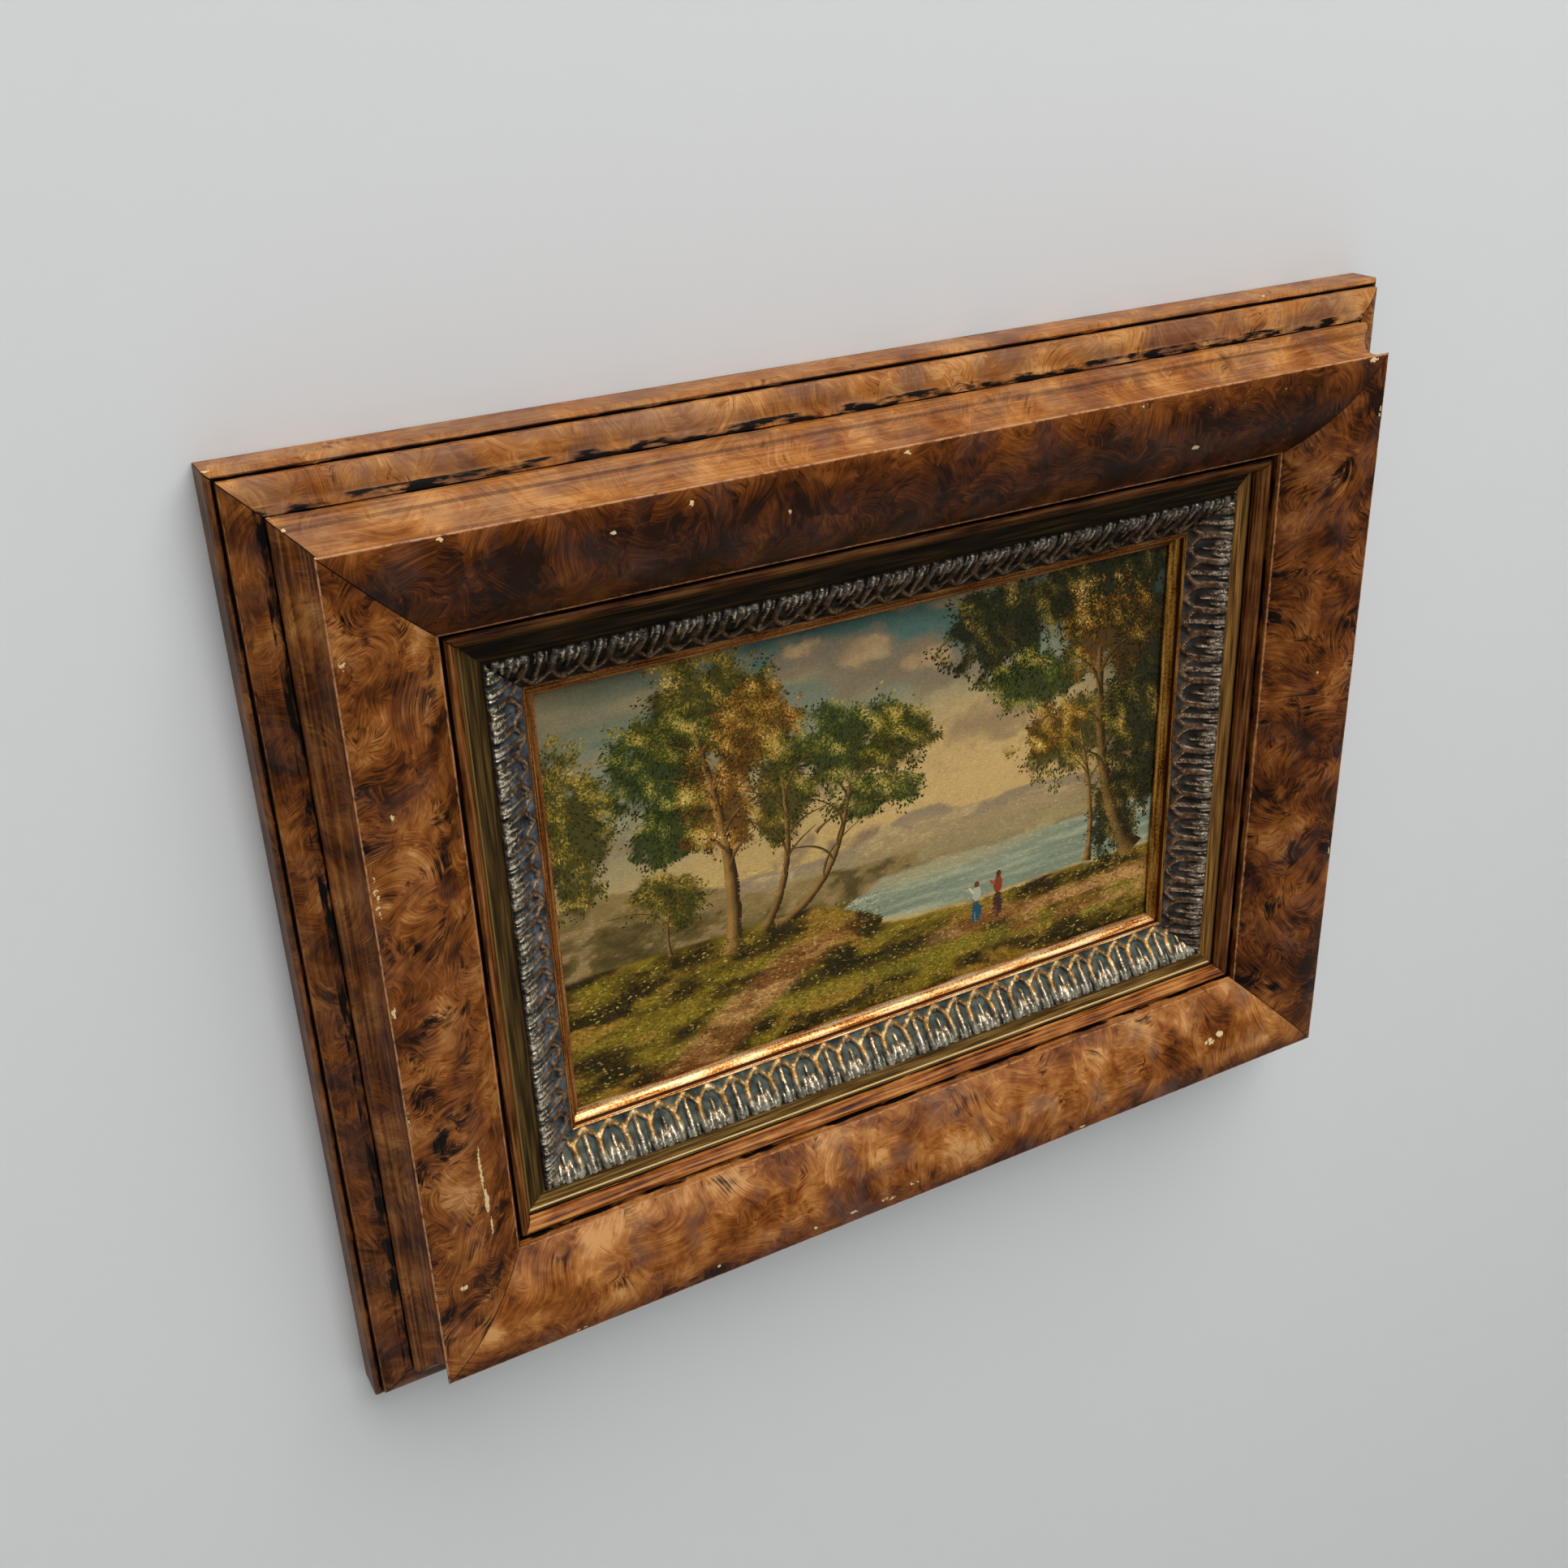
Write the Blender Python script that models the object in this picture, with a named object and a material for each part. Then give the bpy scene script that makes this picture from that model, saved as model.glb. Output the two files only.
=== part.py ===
"""A small oil painting on board in a deep moulded frame with a carved liner.

The picture faces -Y and its flat back lies on the plane Y = 0, against the wall.
The origin is on the back of the frame's top rail, in the middle of its length and
of its flat width, where the frame hangs. Metres, +Z up.

Each rail is drawn as a section: "inward" runs from the frame's outer side towards
the picture, and "forward" runs from the wall towards the viewer.
"""

import math

import bmesh
import bpy
from mathutils import Vector

# The opening through which the picture shows, and the board behind it
SIGHT_WIDTH = 0.1397
SIGHT_HEIGHT = 0.0880
BOARD_LAP = 0.0065
BOARD_THICKNESS = 0.0030
BOARD_SETBACK = 0.0006

# Gaps between pieces that touch, and between the two halves of a mitre
FIT = 0.0003
MITRE_GAP = 0.0003

# Outer moulding: the side that runs up from the wall
SIDE_BAND_HEIGHT = 0.0059
SIDE_ROUND_WIDTH = 0.00075
SIDE_ROUND_RISE = 0.0013
GROOVE_WIDTH = 0.00075
GROOVE_DEPTH = 0.0003
STEP_RISER = 0.0016
STEP_WIDTH = 0.0055
STEP_RISE = 0.0020
STEP_SWELL = 0.0005
QUIRK_WIDTH = 0.0003
QUIRK_DEPTH = 0.0004
SIDE_BEAD_WIDTH = 0.0010
SIDE_BEAD_RISE = 0.0036
SIDE_BEAD_SWELL = 0.0007
COVE_WIDTH = 0.0026
COVE_RISE = 0.0085
COVE_HOLLOW = 0.0019

# Outer moulding: the broad face and the small members at its inner edge
ARRIS_BEVEL = 0.0002
FACE_WIDTH = 0.0184
FACE_DROP = 0.0073
FACE_SHOULDER_WIDTH = 0.0074
FACE_SHOULDER_RISE = 0.0012
FACE_HIP_WIDTH = 0.0055
FACE_HIP_RISE = 0.0060
RIDGE_WIDTH = 0.0006
RIDGE_DROP = 0.0008
RIDGE_SWELL = 0.00015
CHANNEL_WALL_WIDTH = 0.0003
CHANNEL_DEPTH = 0.0018
CHANNEL_FLOOR = 0.0006
SIGHT_BEAD_RISER = 0.0013
SIGHT_BEAD_WIDTH = 0.0012
SIGHT_BEAD_SWELL = 0.00035
SIGHT_SLOPE_WIDTH = 0.0012
SIGHT_SLOPE_DROP = 0.0020
SIGHT_SLOPE_SWELL = 0.0002
SIGHT_LIP = 0.0007
LINER_REBATE = 0.0050

# Liner: flat margin, carved strip and the gilt members at the picture's edge
MARGIN_WIDTH = 0.0034
MARGIN_BEAD_WIDTH = 0.0004
MARGIN_BEAD_SWELL = 0.0002
CARVING_STEP = 0.0006
CARVING_WIDTH = 0.0080
CARVING_DROP = 0.0048
GILT_LINE_WIDTH = 0.00045
GILT_LINE_SWELL = 0.00018
GILT_LINE_COUNT = 2
GILT_STEP = 0.0005
GILT_COVE_HOLLOW = 0.00035
SIGHT_EDGE = 0.0005

# Carved leaves, tips towards the picture: a leaf with a scroll at its root, then a plain one
LEAF_PITCH = 0.0054
SCROLL_HALF_WIDTH = 0.0016
SCROLL_BULGE = 0.0007
SCROLL_HEIGHT = 0.00060
RIB_HEIGHT = 0.00045
TIP_RIM_HEIGHT = 0.00050
GROOVE_SINK = 0.00030
ROOT_LINE = 0.07
SCROLL_LINE = 0.28
THROAT_LINE = 0.50
SHOULDER_LINE = 0.68
RIM_LINE = 0.82
TIP_LINE = 0.94
TIP_HALF_WIDTH = 0.0003

# Facets along each rounded member, and the angle from which an edge is drawn sharp
FINE_STEPS = 2
ROUND_STEPS = 3
COVE_STEPS = 6
FACE_STEPS = 9
SHARP_ANGLE = math.radians(22.0)


def bowed(start, end, bow, steps):
    """Points after start, up to end, on an arc that bows to the left by the given height."""
    run = Vector(end) - Vector(start)
    if steps == 1 or bow == 0.0:
        return [tuple(end)]
    left = Vector((-run.y, run.x)).normalized()
    half_angle = 2.0 * math.atan2(2.0 * abs(bow), run.length)
    radius = run.length / (2.0 * math.sin(half_angle))
    points = []
    for step in range(1, steps):
        angle = half_angle * (2.0 * step / steps - 1.0)
        along = 0.5 + radius * math.sin(angle) / run.length
        height = radius * (math.cos(angle) - math.cos(half_angle))
        points.append(tuple(Vector(start) + run * along + left * math.copysign(height, bow)))
    return points + [tuple(end)]


def draw(start, moves):
    """A section drawn as moves (inward, forward, bow, steps), each from where the last one ended."""
    points = [start]
    for inward, forward, bow, steps in moves:
        here = points[-1]
        there = (here[0] + inward, here[1] + forward)
        points += bowed(here, there, bow, steps)
    return points


def face_curve(start):
    """The broad face: a curve with a nearly flat shoulder that falls away towards the picture."""
    shoulder = (start[0] + FACE_SHOULDER_WIDTH, start[1] + FACE_SHOULDER_RISE)
    end = (start[0] + FACE_WIDTH, start[1] - FACE_DROP)
    hip = (end[0] - FACE_HIP_WIDTH, end[1] + FACE_HIP_RISE)
    points = []
    for step in range(1, FACE_STEPS + 1):
        t = step / FACE_STEPS
        weights = ((1 - t) ** 3, 3 * t * (1 - t) ** 2, 3 * t * t * (1 - t), t ** 3)
        controls = (start, shoulder, hip, end)
        inward = sum(w * c[0] for w, c in zip(weights, controls))
        forward = sum(w * c[1] for w, c in zip(weights, controls))
        points.append((inward, forward))
    return points


def moulding_front():
    """The outer moulding's visible line, from its back outer corner to its sight edge."""
    outside = draw((0.0, 0.0), [
        (0.0, SIDE_BAND_HEIGHT, 0.0, 1),
        (SIDE_ROUND_WIDTH, SIDE_ROUND_RISE, SIDE_ROUND_WIDTH / 3, ROUND_STEPS),
        (GROOVE_WIDTH / 2, -GROOVE_DEPTH, 0.0, 1),
        (GROOVE_WIDTH / 2, 0.0, 0.0, 1),
        (0.0, STEP_RISER, 0.0, 1),
        (STEP_WIDTH, STEP_RISE, STEP_SWELL, COVE_STEPS),
        (QUIRK_WIDTH, -QUIRK_DEPTH, 0.0, 1),
        (SIDE_BEAD_WIDTH, SIDE_BEAD_RISE, SIDE_BEAD_SWELL, ROUND_STEPS + 1),
        (COVE_WIDTH, COVE_RISE, -COVE_HOLLOW, COVE_STEPS),
        (ARRIS_BEVEL, ARRIS_BEVEL, 0.0, 1),
    ])
    face = face_curve(outside[-1])
    inside = draw(face[-1], [
        (RIDGE_WIDTH, -RIDGE_DROP, RIDGE_SWELL, FINE_STEPS),
        (CHANNEL_WALL_WIDTH, -CHANNEL_DEPTH, 0.0, 1),
        (CHANNEL_FLOOR, 0.0, 0.0, 1),
        (0.0, SIGHT_BEAD_RISER, 0.0, 1),
        (SIGHT_BEAD_WIDTH, 0.0, SIGHT_BEAD_SWELL, ROUND_STEPS),
        (SIGHT_SLOPE_WIDTH, -SIGHT_SLOPE_DROP, SIGHT_SLOPE_SWELL, ROUND_STEPS),
    ])
    return outside + face + inside[1:]


MOULDING_FRONT = moulding_front()
MOULDING_WIDTH = MOULDING_FRONT[-1][0]
REBATE_CEILING = MOULDING_FRONT[-1][1] - SIGHT_LIP
BACK_WIDTH = MOULDING_WIDTH - LINER_REBATE

# The liner starts a fit's gap inside the rebate, and its margin lies under the sight lip
LINER_OUTER = BACK_WIDTH + FIT
MARGIN_FORWARD = REBATE_CEILING - FIT
MARGIN_START = MOULDING_WIDTH + FIT
CARVING_OUTER = MARGIN_START + MARGIN_BEAD_WIDTH + MARGIN_WIDTH
CARVING_FORWARD = MARGIN_FORWARD + CARVING_STEP
CARVING_INNER = CARVING_OUTER + CARVING_WIDTH
GILT_FORWARD = CARVING_FORWARD - CARVING_DROP

# The board's front, and the liner's ceiling a fit's gap in front of it
BOARD_FRONT = BOARD_SETBACK + BOARD_THICKNESS
LINER_CEILING = BOARD_FRONT + FIT
GILT_LINES_END = CARVING_INNER + GILT_LINE_COUNT * GILT_LINE_WIDTH
GILT_COVE_DROP = GILT_FORWARD - GILT_STEP - LINER_CEILING - SIGHT_EDGE
SIGHT_INNER = GILT_LINES_END + GILT_COVE_DROP

OUTER_WIDTH = SIGHT_WIDTH + 2 * SIGHT_INNER
OUTER_HEIGHT = SIGHT_HEIGHT + 2 * SIGHT_INNER
CENTRE_HEIGHT = BACK_WIDTH / 2 - OUTER_HEIGHT / 2


def liner_margin():
    """The liner's line from its outer side to the foot of the carving."""
    return draw((LINER_OUTER, 0.0), [
        (0.0, MARGIN_FORWARD, 0.0, 1),
        (MARGIN_START - LINER_OUTER, 0.0, 0.0, 1),
        (MARGIN_BEAD_WIDTH, 0.0, MARGIN_BEAD_SWELL, ROUND_STEPS),
        (MARGIN_WIDTH, 0.0, 0.0, 1),
    ])


def liner_gilt_edge():
    """The gilt lines and small cove between the carving and the picture, then the board's rebate."""
    lines = [(GILT_LINE_WIDTH, 0.0, GILT_LINE_SWELL, FINE_STEPS)] * GILT_LINE_COUNT
    return draw((CARVING_INNER, GILT_FORWARD), lines + [
        (0.0, -GILT_STEP, 0.0, 1),
        (GILT_COVE_DROP, -GILT_COVE_DROP, -GILT_COVE_HOLLOW, ROUND_STEPS),
        (0.0, -SIGHT_EDGE, 0.0, 1),
        (-BOARD_LAP, 0.0, 0.0, 1),
        (0.0, -LINER_CEILING, 0.0, 1),
    ])


def ogee(t):
    """How far the carved strip has fallen at a share t of its width, swelling first and then hollow."""
    return CARVING_DROP * t * t * (3.0 - 2.0 * t)


def tip_half(t):
    """Half the width of a leaf's pointed end: full at the shoulder, blunt at the tip."""
    share = min(1.0, max(0.0, (TIP_LINE - t) / (TIP_LINE - SHOULDER_LINE)))
    return TIP_HALF_WIDTH + (LEAF_PITCH / 2 - TIP_HALF_WIDTH) * share


def swell(t, start, end):
    """Rises from nothing at start to one halfway and back to nothing at end."""
    return math.sin(math.pi * (t - start) / (end - start)) if start < t < end else 0.0


def leaf_lines(t):
    """Offset from the scrolled leaf's middle, and height, of the ridges and grooves at a share t."""
    in_tip = t > THROAT_LINE
    edge = LEAF_PITCH / 2 + SCROLL_BULGE * swell(t, 0.0, SHOULDER_LINE)
    curl = SCROLL_HEIGHT * swell(t, -ROOT_LINE, SHOULDER_LINE + ROOT_LINE)
    if in_tip:
        inner = 0.8 * tip_half(t)
        near = far = TIP_RIM_HEIGHT
        plain_inner = LEAF_PITCH - inner
    else:
        inner = SCROLL_HALF_WIDTH * (0.6 + 0.4 * swell(t, 0.0, THROAT_LINE))
        near = curl
        far = -GROOVE_SINK
        plain_inner = (edge + LEAF_PITCH) / 2
    return (
        (0.0, RIB_HEIGHT if t > SCROLL_LINE else -GROOVE_SINK),
        (inner, near),
        ((inner + edge) / 2, -GROOVE_SINK),
        (edge, curl if t < SHOULDER_LINE else -GROOVE_SINK),
        (plain_inner, far),
        (LEAF_PITCH, RIB_HEIGHT),
    )


def leaf_stations(t, leaf_pairs):
    """The lines of a whole row of leaf pairs, mirrored about each scrolled leaf's middle."""
    half = leaf_lines(t)
    left_half = [(-offset, height) for offset, height in half[:0:-1]]
    stations = []
    for pair in range(-leaf_pairs, leaf_pairs + 1):
        middle = 2 * pair * LEAF_PITCH
        stations += [(middle + offset, height) for offset, height in left_half + list(half[:-1])]
    return stations


def carving_rows(half_length):
    """Rows of points of the carved strip, from its outer edge to its inner edge."""
    leaf_pairs = math.ceil(half_length / (2 * LEAF_PITCH)) + 1
    shares = (0.0, ROOT_LINE, SCROLL_LINE, THROAT_LINE, SHOULDER_LINE, RIM_LINE, TIP_LINE, 1.0)
    rows = []
    for t in shares:
        inward = CARVING_OUTER + CARVING_WIDTH * t
        forward = CARVING_FORWARD - ogee(t)
        raised = 0.0 if t in (0.0, 1.0) else 1.0
        line = []
        for along, height in leaf_stations(t, leaf_pairs):
            line.append((along, inward, forward + raised * height))
        rows.append(line)
    return rows


def cut_mitres(bm, half_length, half_across):
    """Cuts both ends of a straight rail at 45 degrees and closes them."""
    reach = half_length - MITRE_GAP * math.sqrt(0.5)
    for side in (-1.0, 1.0):
        bmesh.ops.bisect_plane(
            bm,
            geom=bm.verts[:] + bm.edges[:] + bm.faces[:],
            dist=1e-8,
            plane_co=(side * reach, 0.0, -half_across),
            plane_no=(side, 0.0, 1.0),
            clear_outer=True,
        )
        rim = [edge for edge in bm.edges if edge.is_boundary]
        bmesh.ops.contextual_create(bm, geom=rim)


def rail_mesh(name, bm, half_length, half_across):
    """Finishes a straight rail: mitres, outward faces and smooth shading on its rounded members."""
    cut_mitres(bm, half_length, half_across)
    bmesh.ops.recalc_face_normals(bm, faces=bm.faces[:])
    bmesh.ops.triangulate(bm, faces=bm.faces[:])
    mesh = bpy.data.meshes.new(name)
    bm.to_mesh(mesh)
    bm.free()
    mesh.shade_smooth()
    mesh.set_sharp_from_angle(angle=SHARP_ANGLE)
    return mesh


def moulding_mesh(name, half_length, half_across):
    """One outer rail, lying along X below the frame's centre: its section, extruded and mitred."""
    section = MOULDING_FRONT + [
        (MOULDING_WIDTH, REBATE_CEILING),
        (BACK_WIDTH, REBATE_CEILING),
        (BACK_WIDTH, 0.0),
    ]
    bm = bmesh.new()
    corners = [bm.verts.new((-half_length, -v, u - half_across)) for u, v in section]
    profile = bm.faces.new(corners)
    made = bmesh.ops.extrude_face_region(bm, geom=[profile])
    moved = [item for item in made["geom"] if isinstance(item, bmesh.types.BMVert)]
    bmesh.ops.translate(bm, verts=moved, vec=(2 * half_length, 0.0, 0.0))
    return rail_mesh(name, bm, half_length, half_across)


def liner_mesh(name, half_length, half_across):
    """One liner rail: a loft between unlike lines, because the leaves change its section along it."""
    bm = bmesh.new()
    rows = [
        [bm.verts.new((x, -v, u - half_across)) for x, u, v in row]
        for row in carving_rows(half_length)
    ]
    ends = (rows[0][0].co.x, rows[0][-1].co.x)
    plain = liner_gilt_edge()[1:] + liner_margin()
    first = [bm.verts.new((ends[0], -v, u - half_across)) for u, v in plain]
    last = [bm.verts.new((ends[1], -v, u - half_across)) for u, v in plain]
    for lower, upper in zip(rows, rows[1:]):
        for a, b, c, d in zip(lower, lower[1:], upper[1:], upper):
            bm.faces.new((a, b, c, d))
    for a, b, c, d in zip(first, last, last[1:], first[1:]):
        bm.faces.new((a, b, c, d))
    bm.faces.new(rows[-1] + [last[0], first[0]])
    bm.faces.new(rows[0][::-1] + [first[-1], last[-1]])
    return rail_mesh(name, bm, half_length, half_across)


def material(name, colour, roughness, metallic=0.0):
    """A plain Principled material."""
    made = bpy.data.materials.new(name)
    made.use_nodes = True
    shader = made.node_tree.nodes["Principled BSDF"]
    shader.inputs["Base Color"].default_value = (*colour, 1.0)
    shader.inputs["Roughness"].default_value = roughness
    shader.inputs["Metallic"].default_value = metallic
    made.diffuse_color = (*colour, 1.0)
    return made


def place(name, mesh, finish, centre, collection, turn=0.0):
    """Puts one piece in the model, turned about the line that runs from the wall to the viewer."""
    piece = bpy.data.objects.new(name, mesh)
    if not mesh.materials:
        mesh.materials.append(finish)
    piece.rotation_euler = (0.0, turn, 0.0)
    piece.parent = centre
    collection.objects.link(piece)
    return piece


def board_mesh(name):
    """The painted board, a fit's gap inside the liner's rebate."""
    width = SIGHT_WIDTH + 2 * (BOARD_LAP - FIT)
    height = SIGHT_HEIGHT + 2 * (BOARD_LAP - FIT)
    bm = bmesh.new()
    bmesh.ops.create_cube(bm, size=1.0)
    bmesh.ops.scale(bm, verts=bm.verts[:], vec=(width, BOARD_THICKNESS, height))
    middle = BOARD_SETBACK + BOARD_THICKNESS / 2
    bmesh.ops.translate(bm, verts=bm.verts[:], vec=(0.0, -middle, 0.0))
    mesh = bpy.data.meshes.new(name)
    bm.to_mesh(mesh)
    bm.free()
    return mesh


def build():
    """Four outer rails, four liner rails and the painted board."""
    for item in list(bpy.data.objects):
        bpy.data.objects.remove(item, do_unlink=True)
    collection = bpy.data.collections.new("framed_oil_painting")
    bpy.context.scene.collection.children.link(collection)
    centre = bpy.data.objects.new("picture_centre", None)
    centre.location = (0.0, 0.0, CENTRE_HEIGHT)
    collection.objects.link(centre)

    burl = material("burl_lacquer", (0.28, 0.10, 0.03), 0.35)
    silver = material("silvered_carving", (0.25, 0.23, 0.18), 0.45, 0.3)
    paint = material("oil_paint", (0.20, 0.18, 0.10), 0.40)

    half_width = OUTER_WIDTH / 2
    half_height = OUTER_HEIGHT / 2
    for kind, make, finish in (("frame", moulding_mesh, burl), ("liner", liner_mesh, silver)):
        level = make(kind + "_level_rail", half_width, half_height)
        upright = make(kind + "_upright_rail", half_height, half_width)
        place(kind + "_bottom", level, finish, centre, collection)
        place(kind + "_left", upright, finish, centre, collection, math.radians(90))
        place(kind + "_top", level, finish, centre, collection, math.radians(180))
        place(kind + "_right", upright, finish, centre, collection, math.radians(270))
    place("painted_board", board_mesh("painted_board"), paint, centre, collection)


build()
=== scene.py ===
# %% [markdown]
# # A small oil painting in a deep burl-finish frame
# The real object is a landscape in oil on a thin board. It sits in a carved, silvered
# liner, and the liner sits in a deep moulded frame that is painted to look like burl wood.
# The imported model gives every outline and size. This lesson dresses it: the same forms
# with finer carving, real finishes, and a painting made of thousands of strokes.

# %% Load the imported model
import math

import bmesh
import bpy
import numpy as np
from mathutils import Matrix, Vector


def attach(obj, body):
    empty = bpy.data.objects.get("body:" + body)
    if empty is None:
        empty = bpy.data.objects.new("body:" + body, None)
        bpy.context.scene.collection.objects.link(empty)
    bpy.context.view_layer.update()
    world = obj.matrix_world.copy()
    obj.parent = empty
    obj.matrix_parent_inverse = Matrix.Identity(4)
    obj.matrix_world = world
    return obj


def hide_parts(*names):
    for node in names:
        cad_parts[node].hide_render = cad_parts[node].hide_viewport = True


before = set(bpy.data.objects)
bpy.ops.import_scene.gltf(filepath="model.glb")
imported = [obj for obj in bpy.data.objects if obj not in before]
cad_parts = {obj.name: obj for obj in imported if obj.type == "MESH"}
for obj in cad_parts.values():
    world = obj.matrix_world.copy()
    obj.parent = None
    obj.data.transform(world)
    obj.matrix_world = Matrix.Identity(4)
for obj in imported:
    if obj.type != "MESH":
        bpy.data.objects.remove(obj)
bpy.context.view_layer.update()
print("nodes:", sorted(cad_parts))

# %% [markdown]
# ## The camera
# The photo was taken from the left and from above, with the camera a little rolled.
# Its place was fitted to the four mitred corners of the frame, so the model lines up
# with the photo when it is seen through the same lens.

# %% Camera
CAMERA_PLACE = Vector((-0.16075, -0.2693, 0.0848))
CAMERA_RIGHT = Vector((0.87635, -0.48029, -0.03652))
CAMERA_UP = Vector((0.24298, 0.37535, 0.89447))
CAMERA_BACK = Vector((-0.41589, -0.79274, 0.44563))

lens = bpy.data.cameras.new("photo_camera")
lens.lens = 40.09
lens.sensor_width = 36.0
lens.clip_start = 0.01
camera = bpy.data.objects.new("photo_camera", lens)
turned = Matrix((CAMERA_RIGHT, CAMERA_UP, CAMERA_BACK)).transposed().to_4x4()
camera.matrix_world = Matrix.Translation(CAMERA_PLACE) @ turned
bpy.context.scene.collection.objects.link(camera)
bpy.context.scene.camera = camera
bpy.context.scene.view_settings.view_transform = "Standard"
print("camera is", round(1000 * CAMERA_PLACE.length), "mm from where the picture hangs")

# %% [markdown]
# ## Helpers
# Finishes are written as the sRGB hex colours that a paint chart would give, and one
# function turns them into the linear numbers that Blender works in. Another adds a
# node, sets it up and links it, for shader trees and Geometry Nodes alike.

# %% Colour and node helpers
MM = 0.001


def linear(hex_colour):
    """An sRGB hex colour as linear red, green, blue and alpha."""
    channels = [int(hex_colour[i:i + 2], 16) / 255 for i in (1, 3, 5)]
    lit = [c / 12.92 if c <= 0.04045 else ((c + 0.055) / 1.055) ** 2.4 for c in channels]
    return (*lit, 1.0)


# The second word of a node's kind makes this setting
CHOICES = {
    "Math": "operation", "VectorMath": "operation", "Mix": "data_type",
    "TexNoise": "noise_dimensions", "TexVoronoi": "voronoi_dimensions",
    "GeometryNodeInputNamedAttribute": "data_type",
}


def add(tree, kind, *values, out=None, stops=None, **settings):
    """Adds a node, fills its inputs in the order it shows them or by name, gives one output."""
    kind, *choice = kind.split()
    made = tree.nodes.new(kind if "Node" in kind else "ShaderNode" + kind)
    if choice:
        settings[CHOICES[kind]] = choice[0]
    for name, value in settings.items():
        setattr(made, name, value)
    shown = [socket for socket in made.inputs if socket.enabled]
    for number, value in enumerate(values):
        for key, entry in (value if isinstance(value, dict) else {number: value}).items():
            socket = shown[key] if isinstance(key, int) else made.inputs[key]
            if isinstance(entry, bpy.types.NodeSocket):
                tree.links.new(entry, socket)
            else:
                socket.default_value = entry
    if stops:
        elements = made.color_ramp.elements
        elements[0].position, elements[1].position = stops[0][0], stops[-1][0]
        elements[0].color, elements[1].color = linear(stops[0][1]), linear(stops[-1][1])
        for place, colour in stops[1:-1]:
            elements.new(place).color = linear(colour)
    if out:
        return made.outputs[out]
    return next((socket for socket in made.outputs if socket.enabled), None)


def new_tree(name, kind, inputs, outputs):
    """A node group with named inputs and outputs, and the sockets of its input node."""
    tree = bpy.data.node_groups.new(name, kind)
    for direction, sockets in (("INPUT", inputs), ("OUTPUT", outputs)):
        for socket, form in sockets.items():
            tree.interface.new_socket(
                name=socket, in_out=direction, socket_type="NodeSocket" + form
            )
    return tree, tree.nodes.new("NodeGroupInput").outputs


def new_finish(name):
    """A fresh material, with its node tree and its shader."""
    finish = bpy.data.materials.new(name)
    finish.use_nodes = True
    return finish, finish.node_tree, finish.node_tree.nodes["Principled BSDF"]


print("pure white stays", linear("#ffffff")[:3])

# %% [markdown]
# ## From a node tree to a plain mesh
# A Geometry Nodes modifier is handy while a shape is being made, but the library keeps
# plain meshes. This helper sets the tree's inputs, lets Blender work the shape out,
# keeps the result as the piece's own mesh and takes the modifier off.

# %% Grow a mesh with Geometry Nodes


def grow(name, seed_mesh, tree, values):
    """A plain mesh, grown from a small seed mesh by a Geometry Nodes tree."""
    seedling = bpy.data.objects.new(name, seed_mesh)
    bpy.context.scene.collection.objects.link(seedling)
    modifier = seedling.modifiers.new("grow", "NODES")
    modifier.node_group = tree
    for socket in tree.interface.items_tree:
        if socket.in_out == "INPUT" and socket.name in values:
            modifier[socket.identifier] = values[socket.name]
    graph = bpy.context.evaluated_depsgraph_get()
    mesh = bpy.data.meshes.new_from_object(seedling.evaluated_get(graph))
    mesh.name = name
    bpy.data.objects.remove(seedling)
    grown = [finish for finish in mesh.materials if finish]
    mesh.materials.clear()
    mesh.materials.append(grown[0])
    mesh.polygons.foreach_set("material_index", np.zeros(len(mesh.polygons), np.int32))
    return mesh


def triangles(mesh):
    """How many triangles the mesh has."""
    return sum(len(face.vertices) - 2 for face in mesh.polygons)


def finished_piece(name, mesh, slot, *nodes):
    """Shows a finished mesh as a piece that rides with the picture and stands for CAD nodes."""
    piece = bpy.data.objects.new(name, mesh)
    bpy.context.scene.collection.objects.link(piece)
    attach(piece, "root")
    if nodes:
        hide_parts(*nodes)
    print(name, "has", triangles(mesh), "triangles")
    return piece


# %% [markdown]
# ## The moulding's section
# A picture frame is made from one long moulding: a plank that a shaped cutter has run
# along. So its section says everything about it. Each member below is one move of the
# pen, in millimetres: how far inwards, how far forwards, how much it bows and how many
# steps it takes. Four marks say how much painted shade it gets where it lies in a recess,
# how much of the side's greyer brown it takes, which is mostly painted shade, how streaked
# its finish is, and how much the edge that it ends in is rubbed.

# %% The section of the frame's moulding
SIGHT_WIDTH, SIGHT_HEIGHT = 139.7, 88.0
SIGHT_INNER = 48.1
OUTER_WIDTH = SIGHT_WIDTH + 2 * SIGHT_INNER
OUTER_HEIGHT = SIGHT_HEIGHT + 2 * SIGHT_INNER
BACK_WIDTH = 28.4
CENTRE_HEIGHT = BACK_WIDTH / 2 - OUTER_HEIGHT / 2
MITRE_GAP = 0.06
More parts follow.
